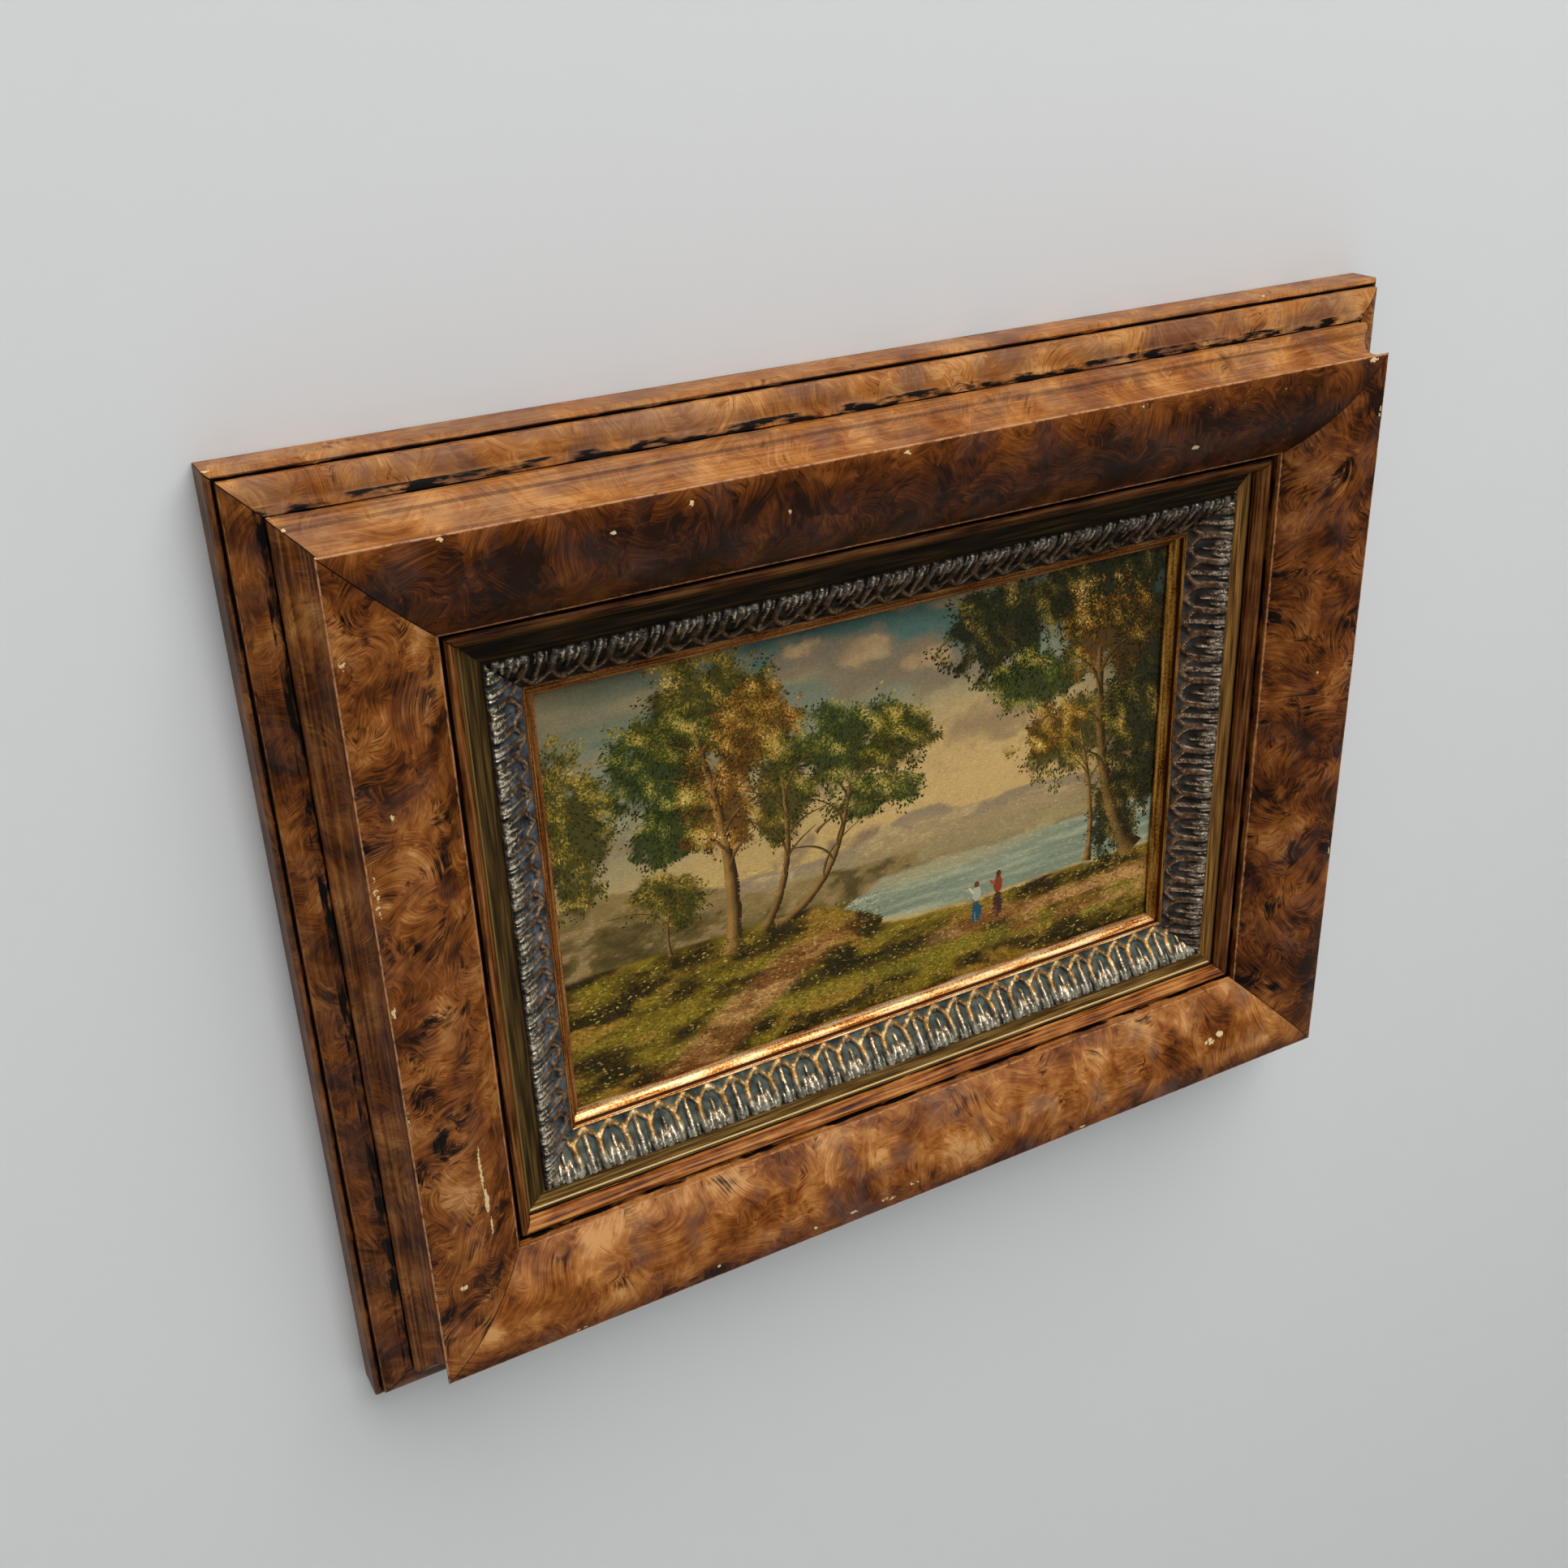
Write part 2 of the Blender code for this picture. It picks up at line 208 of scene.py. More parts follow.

# inward, forward, bow, steps, then painted shade in recesses, the side's grey (mostly
# painted shade), streaked, and the wear of the edge it ends in
OUTSIDE_MEMBERS = [
    (0.0, 5.5, 0.0, 5, 0.0, 1.0, 0.25, 0.0),
    (0.0, 0.4, 0.0, 2, 0.0, 1.0, 0.25, 0.50),
    (0.75, 1.3, 0.25, 6, 0.0, 0.5, 0.25, 0.0),
    (0.3, -0.24, 0.0, 1, 0.75, 0.0, 0.0, 0.0),
    (0.45, -0.06, 0.0, 1, 0.95, 0.0, 0.0, 0.0),
    (0.0, 0.35, 0.0, 1, 0.7, 0.0, 0.0, 0.0),
    (0.0, 0.25, 0.0, 1, 0.0, 0.0, 0.3, 0.0),
    (0.0, 1.0, 0.0, 2, 0.0, 0.0, 0.2, 0.6),
    (3.9, 1.42, 0.36, 11, 0.1, 0.0, 0.1, 0.0),
    (1.6, 0.58, 0.05, 5, 0.66, 0.0, 0.1, 0.0),
    (0.3, -0.4, 0.0, 1, 0.76, 0.0, 0.0, 0.0),
    (0.15, 0.5, 0.0, 1, 0.3, 0.0, 0.3, 0.6),
    (0.85, 3.1, 0.6, 8, 0.0, 0.0, 0.35, 0.3),
    (2.6, 8.5, -1.9, 16, 0.12, 0.0, 0.3, 0.2),
    (0.06, 0.12, 0.0, 1, 0.0, 0.0, 0.0, 0.90),
    (0.14, 0.08, 0.0, 1, 0.0, 0.0, 0.0, 0.90),
]
INSIDE_MEMBERS = [
    (0.15, -0.1, 0.0, 1, 0.0, 0.0, 0.5, 0.8),
    (0.3, -0.42, 0.1, 2, 0.0, 0.0, 0.5, 0.4),
    (0.15, -0.28, 0.0, 1, 0.5, 0.0, 0.5, 0.0),
    (0.3, -1.8, 0.0, 3, 0.74, 0.0, 0.5, 0.0),
    (0.6, 0.0, 0.0, 1, 0.85, 0.0, 0.5, 0.0),
    (0.0, 1.3, 0.0, 2, 0.5, 0.0, 1.0, 0.45),
    (1.2, 0.0, 0.35, 6, 0.0, 0.0, 1.0, 0.25),
    (1.2, -2.0, 0.2, 6, 0.2, 0.0, 1.0, 0.3),
    (0.0, -0.7, 0.0, 2, 0.9, 0.0, 1.0, 0.0),
    (-5.0, 0.0, 0.0, 1, 0.9, 0.0, 0.0, 0.0),
    (0.0, -11.1, 0.0, 1, 0.5, 0.0, 0.0, 0.0),
]
FACE_STEPS = 44
EDGE_SHARE = 0.013


def bowed(start, end, bow, steps):
    """Points after start, up to end, on an arc that bows to the left by the given height."""
    start, end = np.array(start), np.array(end)
    run = end - start
    length = np.hypot(*run)
    shares = np.arange(1, steps + 1) / steps
    if bow == 0.0:
        return [tuple(start + run * share) for share in shares]
    left = np.array((-run[1], run[0])) / length
    half_angle = 2.0 * math.atan2(2.0 * abs(bow), length)
    radius = length / (2.0 * math.sin(half_angle))
    points = []
    for angle in half_angle * (2.0 * shares - 1.0):
        along = 0.5 + radius * math.sin(angle) / length
        height = radius * (math.cos(angle) - math.cos(half_angle))
        points.append(tuple(start + run * along + left * math.copysign(height, bow)))
    return points


def draw_members(section, members):
    """Carries a section on: each point gets its place and its finish marks."""
    for inward, forward, bow, steps, *marks, edge_wear in members:
        here = section[-1][0]
        there = (here[0] + inward, here[1] + forward)
        for step, place in enumerate(bowed(here, there, bow, steps), 1):
            section.append((place, (*marks, edge_wear if step == steps else 0.0)))


def draw_face(section):
    """The broad face: a nearly flat shoulder that falls away towards the picture."""
    start = np.array(section[-1][0])
    controls = [start, start + (7.4, 1.2), start + (12.9, -1.3), start + (18.4, -7.3)]
    for t in (EDGE_SHARE, *np.arange(1, FACE_STEPS + 1) / FACE_STEPS):
        weights = ((1 - t) ** 3, 3 * t * (1 - t) ** 2, 3 * t * t * (1 - t), t ** 3)
        place = tuple(sum(w * c for w, c in zip(weights, controls)))
        section.append((place, (0.0, 0.0, 0.0, 0.5 if t == 1.0 else 0.0)))


moulding = [((0.0, 0.0), (0.3, 1.0, 0.5, 0.0))]
draw_members(moulding, OUTSIDE_MEMBERS)
draw_face(moulding)
draw_members(moulding, INSIDE_MEMBERS)
print("the section has", len(moulding), "points, to", [round(c, 2) for c in moulding[-1][0]])

# %% The section as a seed mesh


def section_mesh(name, section):
    """A ring of edges in the plane, which carries the finish marks and the way across."""
    places = np.array([place for place, marks in section])
    marks = np.array([marks for place, marks in section])
    across = np.r_[0.0, np.cumsum(np.hypot(*np.diff(places, axis=0).T))]
    count = len(places)
    mesh = bpy.data.meshes.new(name)
    edges = [(i, (i + 1) % count) for i in range(count)]
    mesh.from_pydata([(u * MM, v * MM, 0.0) for u, v in places], edges, [])
    for label, values in zip(("recess_shade_and_joints", "plain", "streaked", "wear"), marks.T):
        mesh.attributes.new(label, "FLOAT", "POINT").data.foreach_set("value", values)
    mesh.attributes.new("across", "FLOAT", "POINT").data.foreach_set("value", across)
    return mesh, across


moulding_seed, moulding_across = section_mesh("moulding_section", moulding)
print("a finger run over the front goes", round(moulding_across[-3], 1), "mm")

# %% [markdown]
# ## Running the moulding
# A frame maker runs the moulding, then saws it at 45 degrees. A sweep along a straight
# line does the first. For the second no saw is needed: each point's run is cut short by
# how far inwards it lies, which is what a 45 degree mitre is. A little unevenness is
# added, because lacquer over hand-sanded gesso is never quite true.

# %% The tree that runs a moulding
tree, given = new_tree("run_moulding", "GeometryNodeTree", {
    "Geometry": "Geometry", "Half Length": "Float", "Half Across": "Float", "Mitre Gap": "Float",
    "Steps": "Int", "Waver": "Float", "Waver Size": "Float", "Turn": "Float",
    "Centre Height": "Float", "Seed": "Float", "Finish": "Material",
}, {"Geometry": "Geometry"})
MOULDING_TREE = tree
ring = add(tree, "GeometryNodeMeshToCurve", given["Geometry"])
place = add(tree, "GeometryNodeInputPosition")
kept = add(
    tree, "GeometryNodeStoreNamedAttribute", {"Geometry": ring, "Name": "section", "Value": place},
    data_type="FLOAT_VECTOR", domain="POINT"
)
line = add(
    tree, "GeometryNodeCurvePrimitiveLine", {"Start": (-1.0, 0.0, 0.0), "End": (1.0, 0.0, 0.0)}
)
line = add(tree, "GeometryNodeResampleCurve", {"Curve": line, "Count": given["Steps"]})
run = add(tree, "SeparateXYZ", place)
line = add(
    tree, "GeometryNodeStoreNamedAttribute", {"Geometry": line, "Name": "run", "Value": run},
    data_type="FLOAT", domain="POINT"
)
swept = add(
    tree, "GeometryNodeCurveToMesh", {"Curve": line, "Profile Curve": kept, "Fill Caps": True}
)

section = add(tree, "GeometryNodeInputNamedAttribute FLOAT_VECTOR", "section")
inward, forward, _ = add(tree, "SeparateXYZ", section).node.outputs
run = add(tree, "GeometryNodeInputNamedAttribute FLOAT", "run")
cut = add(tree, "Math MULTIPLY", given["Mitre Gap"], math.sqrt(0.5))
reach = add(tree, "Math SUBTRACT", given["Half Length"], cut)
reach = add(tree, "Math SUBTRACT", reach, inward)
along = add(tree, "Math MULTIPLY", run, reach)
outward = add(tree, "Math MULTIPLY", forward, -1.0)
up = add(tree, "Math SUBTRACT", inward, given["Half Across"])
true_place = add(tree, "CombineXYZ", along, outward, up)

# The waver fades to nothing at the flat back and at the mitres, which stay true
noise = add(tree, "TexNoise 4D", true_place, given["Seed"], given["Waver Size"], 2.0, out="Color")
centred = add(tree, "VectorMath SUBTRACT", noise, (0.5, 0.5, 0.5))
off_back = add(tree, "MapRange", forward, 0.0005, 0.004)
end = add(tree, "Math ABSOLUTE", run)
off_end = add(tree, "MapRange", end, 1.0, 0.97)
fade = add(tree, "Math MULTIPLY", off_back, off_end)
fade = add(tree, "Math MULTIPLY", fade, given["Waver"])
sway = add(tree, "VectorMath SCALE", centred, fade)
sway = add(tree, "VectorMath MULTIPLY", sway, (0.0, 1.0, 1.0))
laid = add(
    tree, "GeometryNodeSetPosition", {"Geometry": swept, "Position": true_place, "Offset": sway}
)

# What the finish needs to know: how far along, and how far from the mitre
mitre = add(tree, "Math ABSOLUTE", along)
mitre = add(tree, "Math SUBTRACT", reach, mitre)
for label, value in (("along", along), ("mitre", mitre)):
    in_mm = add(tree, "Math MULTIPLY", value, 1.0 / MM)
    laid = add(
        tree, "GeometryNodeStoreNamedAttribute", {"Geometry": laid, "Name": label, "Value": in_mm},
        data_type="FLOAT", domain="POINT"
    )
turn = add(tree, "CombineXYZ", {"Y": given["Turn"]})
lift = add(tree, "CombineXYZ", {"Z": given["Centre Height"]})
laid = add(tree, "GeometryNodeTransform", {"Geometry": laid, "Rotation": turn, "Translation": lift})
laid = add(tree, "GeometryNodeRealizeInstances", laid)
laid = add(tree, "GeometryNodeSetMaterial", {"Geometry": laid, "Material": given["Finish"]})
add(tree, "NodeGroupOutput", {"Geometry": laid})
print(tree.name, "has", len(tree.nodes), "nodes")

# %% [markdown]
# ## The burl finish
# The frame is pine or poplar under gesso, painted to look like burr walnut. The painter
# lays an orange-brown ground, then drags a stiff brush through dark glaze in short turning
# dabs, which leaves fans of bristle lines about a quarter of a millimetre apart, and dabs
# in near-black "eyes". A satin lacquer goes over it. So the pattern here is built the same
# way: each cell of a Voronoi pattern is one dab, the bristle lines are noise that is fine
# across and long around, and they swing about a pivot that lies outside the dab.

# %% One layer of brush dabs, as a node group
tree, given = new_tree("brush_dabs", "ShaderNodeTree", {
    "Vector": "Vector", "Dab Size": "Float", "Bristle": "Float", "Hair": "Float",
}, {"Streak": "Float", "Blotch": "Float", "Tone": "Float"})
DABS = tree
per_dab = add(tree, "Math DIVIDE", 1.0, given["Dab Size"])
scaled = add(tree, "VectorMath SCALE", given["Vector"], per_dab)
bend = add(tree, "TexNoise 2D", scaled, 0.8, 0.0, out="Color")
bent = add(tree, "VectorMath MULTIPLY_ADD", bend, (0.9, 0.9, 0.0), scaled)
ragged = add(tree, "TexNoise 2D", scaled, 4.0, 3.0, out="Color")
ragged = add(tree, "VectorMath MULTIPLY_ADD", ragged, (0.5, 0.5, 0.0), bent)
cell = add(tree, "TexVoronoi 2D", ragged, 1.0).node.outputs
local = add(tree, "VectorMath SUBTRACT", bent, cell["Position"])
sweep = add(tree, "TexNoise 2D", cell["Position"], 0.4, 0.0, out="Color")
pivot = add(tree, "VectorMath MULTIPLY_ADD", sweep, (3.0, 3.0, 0.0), cell["Color"])
pivot = add(tree, "VectorMath SUBTRACT", pivot, (2.0, 2.0, 0.0))
pivot = add(tree, "VectorMath MULTIPLY", pivot, (1.0, 1.0, 0.0))
pivot = add(tree, "VectorMath NORMALIZE", pivot)
reach = add(tree, "SeparateColor", cell["Color"], out="Green")
reach = add(tree, "Math MULTIPLY_ADD", reach, 3.2, 0.9)
pivot = add(tree, "VectorMath SCALE", pivot, reach)
local = add(tree, "VectorMath ADD", local, pivot)
radius = add(tree, "VectorMath LENGTH", local)
heading = add(tree, "VectorMath NORMALIZE", local)
found = {}
for part, size, hair, detail in (("Streak", 1.0, 1.0, 3.0), ("Blotch", 4.5, 0.8, 2.0)):
    lines = add(tree, "Math MULTIPLY", given["Bristle"], size)
    lines = add(tree, "Math DIVIDE", given["Dab Size"], lines)
    lines = add(tree, "Math MULTIPLY", radius, lines)
    lines = add(tree, "CombineXYZ", {"Z": lines})
    own = add(tree, "VectorMath MULTIPLY_ADD", cell["Color"], (37.0, 23.0, 51.0), lines)
    turns = add(tree, "Math DIVIDE", given["Dab Size"], given["Hair"])
    turns = add(tree, "Math MULTIPLY", turns, reach)
    turns = add(tree, "Math MULTIPLY", turns, hair)
    arc = add(tree, "VectorMath SCALE", heading, turns)
    arc = add(tree, "VectorMath ADD", arc, own)
    found[part] = add(tree, "TexNoise", arc, 1.0, detail, 0.62)
found["Tone"] = add(tree, "SeparateColor", cell["Color"], out="Blue")
add(tree, "NodeGroupOutput", found)
print(tree.name, "has", len(tree.nodes), "nodes")

# %% [markdown]
# ## Where the lacquer has chipped
# Lacquer and gesso chip where a frame gets knocked. A chip shows the cream gesso under
# the paint. Each chip below is a window on the rail, in millimetres along and across,
# and inside it a noise decides how much of the window has really flaked off.

# %% The chips of each rail
# along, across, half length, half width, and how much of the window is bare
CHIPS = {
    "bottom": [
        (-50.4, 33.2, 0.5, 0.35, 0.9), (-28.2, 33.0, 0.5, 0.4, 0.9), (-19.0, 33.2, 1.2, 0.35, 0.75),
        (-10.5, 33.0, 2.4, 0.6, 0.62), (76.5, 40.3, 1.6, 0.9, 0.72), (79.5, 41.2, 1.1, 0.8, 0.95),
        (-4.0, 34.6, 1.6, 0.5, 0.6), (40.0, 31.4, 0.9, 0.3, 0.8), (-80.0, 31.2, 1.4, 0.3, 0.7),
    ],
    "left": [
        (37.0, 43.0, 5.6, 0.40, 0.80), (44.5, 43.5, 3.2, 0.62, 0.85), (50.5, 43.9, 2.4, 0.28, 0.8),
        (-23.6, 31.6, 5.0, 0.45, 0.62),
        (-1.6, 31.4, 1.3, 0.4, 0.8), (-37.0, 36.0, 0.6, 0.4, 0.9), (60.0, 36.0, 0.5, 0.9, 0.9),
        (-64.0, 32.0, 1.2, 0.4, 0.7), (20.0, 31.0, 2.0, 0.3, 0.6),
    ],
    "top": [
        (-60.5, 42.4, 0.9, 0.6, 1.0), (46.0, 33.0, 0.4, 0.5, 0.9), (-103.0, 31.2, 1.2, 0.4, 0.9),
        (-46.0, 31.6, 1.5, 0.4, 0.6), (5.0, 31.6, 1.2, 0.4, 0.7), (88.0, 31.2, 0.8, 0.3, 0.8),
        (-70.0, 34.0, 16.0, 1.6, 0.40), (60.0, 35.5, 0.5, 0.4, 0.85), (28.0, 38.0, 0.3, 0.4, 0.9),
        (117.2, 6.1, 0.7, 0.4, 0.9), (110.1, 16.6, 0.6, 0.3, 0.8), (109.2, 20.8, 0.7, 0.3, 0.7),
        (107.0, 30.3, 0.5, 0.4, 0.8), (20.0, 6.0, 1.0, 0.3, 0.6), (-88.0, 6.2, 1.2, 0.4, 0.7),
    ],
    "right": [
        (70.0, 31.2, 1.6, 0.3, 0.7), (-30.0, 31.2, 1.0, 0.3, 0.7), (15.0, 40.0, 0.4, 0.3, 0.8),
    ],
}


def chip_mask(tree, rail_place, chips):
    """A mask that is 1 on bare gesso: the strongest of the rail's chips at each point."""
    ragged = add(tree, "TexNoise 2D", rail_place, 1.3, 3.0).node.outputs
    jog = add(tree, "VectorMath MULTIPLY_ADD", ragged["Color"], (1.0, 1.0, 0.0), (-0.5, -0.5, 0.0))
    jogged = add(tree, "VectorMath ADD", rail_place, jog)
    strongest = 0.0
    for along, across, half_long, half_wide, bare in chips:
        shrink = (1.0 / half_long, 1.0 / half_wide, 0.0)
        centre = (-along / half_long, -across / half_wide, 0.0)
        offset = add(tree, "VectorMath MULTIPLY_ADD", jogged, shrink, centre)
        far = add(tree, "VectorMath LENGTH", offset)
        near = add(tree, "MapRange", far, 1.25, 0.75, 0.0, bare)
        strongest = add(tree, "Math MAXIMUM", near, strongest)
    threshold = add(tree, "Math ADD", strongest, ragged["Fac"])
    return add(tree, "MapRange", threshold, 1.12, 1.2)


print("chips:", {rail: len(chips) for rail, chips in CHIPS.items()})

# %% [markdown]
# ## Burl lacquer
# Two layers of dabs are mixed, broad ones 11 mm across and tight ones of 5.5 mm. A ramp
# turns them into the painter's colours, from the near-black eyes to the orange ground.
# Grooves and the channel by the picture are darkened with painted shade, the mitres get a
# dark joint, edges are rubbed pale, and the flat side by the wall is a greyer brown that is
# mostly painted shade. Each rail also gets its own painted light and shade, and cloudy
# patches of painted sheen. The finish is paint under old satin lacquer: not metal, an IOR
# of 1.45 and a middling roughness. It is worn, so it has a low specular level and only a
# trace of clear coat.

# %% Burl lacquer material
# Millimetres across the rail: from the outside to the face, the band by the face's outer
# edge that gets painted light and shade, and where the slope by the picture starts. Then
# the thin dark line where the cove begins.
ARRIS = (30.0, 31.0)
VERGE = (31.0, 36.0)
SLOPE_START = (52.0, 52.6)
COVE_START, COVE_LINE = 20.9, 0.3
BROAD_DABS, TIGHT_DABS = (11.0, 0.24, 4.6), (5.5, 0.20, 2.8)


def burl_lacquer(rail, seed, look):
    """Faux burl under satin lacquer for one rail, with the pattern moved on by its seed and the
    rail's painted light and shade.
    """
    dark, stroke = look["dark"], look["stroke"]
    finish, tree, shader = new_finish("burl_lacquer_" + rail)
    marks = {
        label: add(tree, "Attribute", attribute_name=label, out="Fac")
        for label in ("along", "across", "wear", "recess_shade_and_joints", "plain", "streaked", "mitre")
    }
    rail_place = add(tree, "CombineXYZ", marks["along"], marks["across"])
    pattern = add(tree, "VectorMath ADD", rail_place, (137.0 * seed, 61.0 * seed, 0.0))

    broad, tight = [
        add(
            tree, "Group", {"Vector": pattern, "Dab Size": size, "Bristle": bristle, "Hair": hair},
            node_tree=DABS
        ).node.outputs
        for size, bristle, hair in (BROAD_DABS, TIGHT_DABS)
    ]
    choice = add(tree, "TexNoise 2D", pattern, 0.12, 1.0)
    choice = add(tree, "MapRange", choice, look["tight"], look["tight"] + 0.08)
    streak, blotch, tone = [
        add(tree, "Mix", choice, broad[part], tight[part])
        for part in ("Streak", "Blotch", "Tone")
    ]
    cloud = add(tree, "TexNoise 2D", pattern, 0.085, 4.0, 0.6)

    # The glaze: large clouds of tone, dabs of two or three millimetres, and bristle lines
    light = add(tree, "Math MULTIPLY_ADD", streak, stroke, -0.5 * stroke)
    light = add(tree, "Math MULTIPLY_ADD", blotch, 0.38, light)
    light = add(tree, "Math MULTIPLY_ADD", tone, 0.10, light)
    light = add(tree, "Math MULTIPLY_ADD", cloud, look["clouds"], light)
    # Painted light and shade across the rail: lift is painted light on the top rail's outside and
    # the bottom's face, and painted shade on the left and right rails; the sheen amount and inner
    # set the painted sheen below, and the side grey is mostly painted shade.
    lift, painted_sheen_amount, side_grey_and_shade, inner = [
        add(tree, "MapRange", marks["across"], *ARRIS, outside, inside)
        for outside, inside in (look["lift"], look["painted_sheen_amount"], (look["plain"], 0.0), (0.20, 0.12))
    ]
    # Painted light along the top rail's face edge, painted shade along the bottom rail's
    edge_light_and_shade = add(tree, "MapRange", marks["across"], *VERGE, look["edge_light_and_shade"], 0.0)
    light = add(tree, "Math ADD", light, edge_light_and_shade)
    light = add(tree, "Math ADD", light, lift)
    colour = add(tree, "ValToRGB", light, stops=[
        (0.42, "#261308"), (0.56, "#582c0d"), (0.73, "#884d1d"), (0.90, "#b0743b"),
        (1.08, "#ca935a"),
    ])

    # Dark wedges with bristle ends, then small black eyes
    ends = add(tree, "TexNoise 4D", pattern, 9.0, 0.16, 3.0)
    ends = add(tree, "Math MULTIPLY_ADD", streak, 0.35, ends)
    ends = add(tree, "Math MULTIPLY_ADD", blotch, 0.55, ends)
    wedge = add(tree, "MapRange", ends, dark, dark - 0.13, 0.0, 0.85)
    eyes = add(tree, "MapRange", ends, dark - 0.12, dark - 0.18)

    # Painted sheen: cloudy grey-brown patches where the satin lacquer catches the light,
    # strongest on the bottom rail and the top rail's outside
    painted_sheen = add(tree, "TexNoise 4D", pattern, 3.0, 0.12, 2.0)
    painted_sheen = add(tree, "Math ADD", painted_sheen, inner)
    painted_sheen = add(tree, "MapRange", painted_sheen, 0.64, 0.80, 0.0, painted_sheen_amount)
    for share, tint in ((wedge, "#241007"), (eyes, "#0e0705"), (painted_sheen, "#604a45")):
        colour = add(tree, "Mix RGBA", share, colour, linear(tint))

    # Straight members are brushed along their length, and the side by the wall is greyer,
    # mostly as painted shade, most on the left rail and least on the top
    runs = add(tree, "VectorMath MULTIPLY", pattern, (0.06, 1.7, 0.0))
    runs = add(tree, "TexNoise 2D", runs, 1.0, 3.0)
    runs = add(tree, "Math MULTIPLY_ADD", cloud, 0.5, runs)
    streaky = add(tree, "ValToRGB", runs, stops=[
        (0.50, "#1e0c06"), (0.60, "#5e2e10"), (0.76, "#985824"), (0.94, "#c58646"),
    ])
    colour = add(tree, "Mix RGBA", marks["streaked"], colour, streaky)
    grey_and_shaded = add(tree, "Mix RGBA", 0.45, colour, linear("#5d4a3c"))
    plain = add(tree, "Math MULTIPLY", marks["plain"], side_grey_and_shade)
    colour = add(tree, "Mix RGBA", plain, colour, grey_and_shaded)
    # Painted shade on the slope by the picture, deepest on the top rail and none on the bottom
    sight = add(tree, "MapRange", marks["across"], *SLOPE_START, 0.0, look["sight"])

    # Painted shade on the slope by the picture, in the grooves and the channel, dark mitre
    # joints, a dark line where the cove begins, rubbed edges, and the chips
    # Painted shade in the recesses, made patchy by noise; the mitres add a dark joint line
    shade_patches = add(tree, "VectorMath MULTIPLY", pattern, (0.14, 0.6, 0.0))
    shade_patches = add(tree, "TexNoise 2D", shade_patches, 1.0, 4.0)
    recess_shade_and_joints = add(tree, "Math ADD", marks["recess_shade_and_joints"], shade_patches)
    recess_shade_and_joints = add(tree, "MapRange", recess_shade_and_joints, 1.08, 1.22)
    mitre = add(tree, "MapRange", marks["mitre"], 0.16, 0.05, 0.0, 0.9)
    recess_shade_and_joints = add(tree, "Math MAXIMUM", recess_shade_and_joints, mitre)
    hollow = add(tree, "Math COMPARE", marks["across"], COVE_START, COVE_LINE)
    hollow = add(tree, "Math MULTIPLY", hollow, 0.45)
    nibble = add(tree, "TexNoise 2D", pattern, 0.7, 4.0)
    rubbed = add(tree, "Math MULTIPLY", marks["wear"], nibble)
    rubbed = add(tree, "MapRange", rubbed, 0.20, 0.46, 0.0, 0.85)
    chipped = chip_mask(tree, rail_place, CHIPS[rail])
    for share, tint in (
        (sight, "#170b06"), (recess_shade_and_joints, "#100a08"), (hollow, "#2c170c"), (rubbed, "#c9936a"),
        (chipped, "#e3c994"),
    ):
        colour = add(tree, "Mix RGBA", share, colour, linear(tint))
    tree.links.new(colour, shader.inputs["Base Color"])

    rough = add(tree, "MapRange", streak, 0.0, 1.0, 0.50, 0.34)
    rough = add(tree, "Mix", chipped, rough, 0.9)
    tree.links.new(rough, shader.inputs["Roughness"])
    shader.inputs["IOR"].default_value = 1.45
    shader.inputs["Specular IOR Level"].default_value = 0.09
    shader.inputs["Coat Weight"].default_value = 0.04
    shader.inputs["Coat Roughness"].default_value = 0.25
    relief = add(tree, "Math MULTIPLY_ADD", chipped, -2.0, streak)
    relief = add(tree, "Math MULTIPLY_ADD", cloud, 1.5, relief)
    bump = add(tree, "Bump", {"Height": relief, "Strength": 0.5, "Distance": 0.05 * MM})
    tree.links.new(bump, shader.inputs["Normal"])
    return finish


print("dab layers share the group", DABS.name)

# %% [markdown]
# ## Bare wood behind
# The back of a frame is left as sawn wood, darkened by age. Nothing of it shows in the
# photo, so it is plain: straight grain about a millimetre wide along each rail.

# %% Bare wood material


def bare_wood(name, pale, dark, grain):
    """Unfinished wood or board, with its grain drawn in the piece's own coordinates."""
    finish, tree, shader = new_finish(name)
    place = add(tree, "TexCoord", out="Object")
    stretched = add(tree, "VectorMath MULTIPLY", place, grain)
    figure = add(tree, "TexNoise", stretched, 1.0, 4.0)
    colour = add(tree, "ValToRGB", figure, stops=[(0.3, dark), (0.7, pale)])
    tree.links.new(colour, shader.inputs["Base Color"])
    shader.inputs["Roughness"].default_value = 0.85
    bump = add(tree, "Bump", {"Height": figure, "Strength": 0.3, "Distance": 0.1 * MM})
    tree.links.new(bump, shader.inputs["Normal"])
    return finish


LEVEL_GRAIN = (40.0, 900.0, 900.0)
UPRIGHT_GRAIN = (900.0, 900.0, 40.0)
level_wood = bare_wood("bare_pine_level", "#a98a63", "#7d6142", LEVEL_GRAIN)
upright_wood = bare_wood("bare_pine_upright", "#a98a63", "#7d6142", UPRIGHT_GRAIN)
print("back finishes:", level_wood.name, "and", upright_wood.name)

# %% [markdown]
# ## The four rails
# Every rail is the same moulding, so one tree makes all four: it only needs the length,
# the turn and the finish. The faces that lie against the wall get the bare wood.

# %% Run and mitre the four rails
RAILS = {
    "bottom": (OUTER_WIDTH / 2, OUTER_HEIGHT / 2, 0.0, level_wood),
    "left": (OUTER_HEIGHT / 2, OUTER_WIDTH / 2, 90.0, upright_wood),
    "top": (OUTER_WIDTH / 2, OUTER_HEIGHT / 2, 180.0, level_wood),
    "right": (OUTER_HEIGHT / 2, OUTER_WIDTH / 2, 270.0, upright_wood),
}
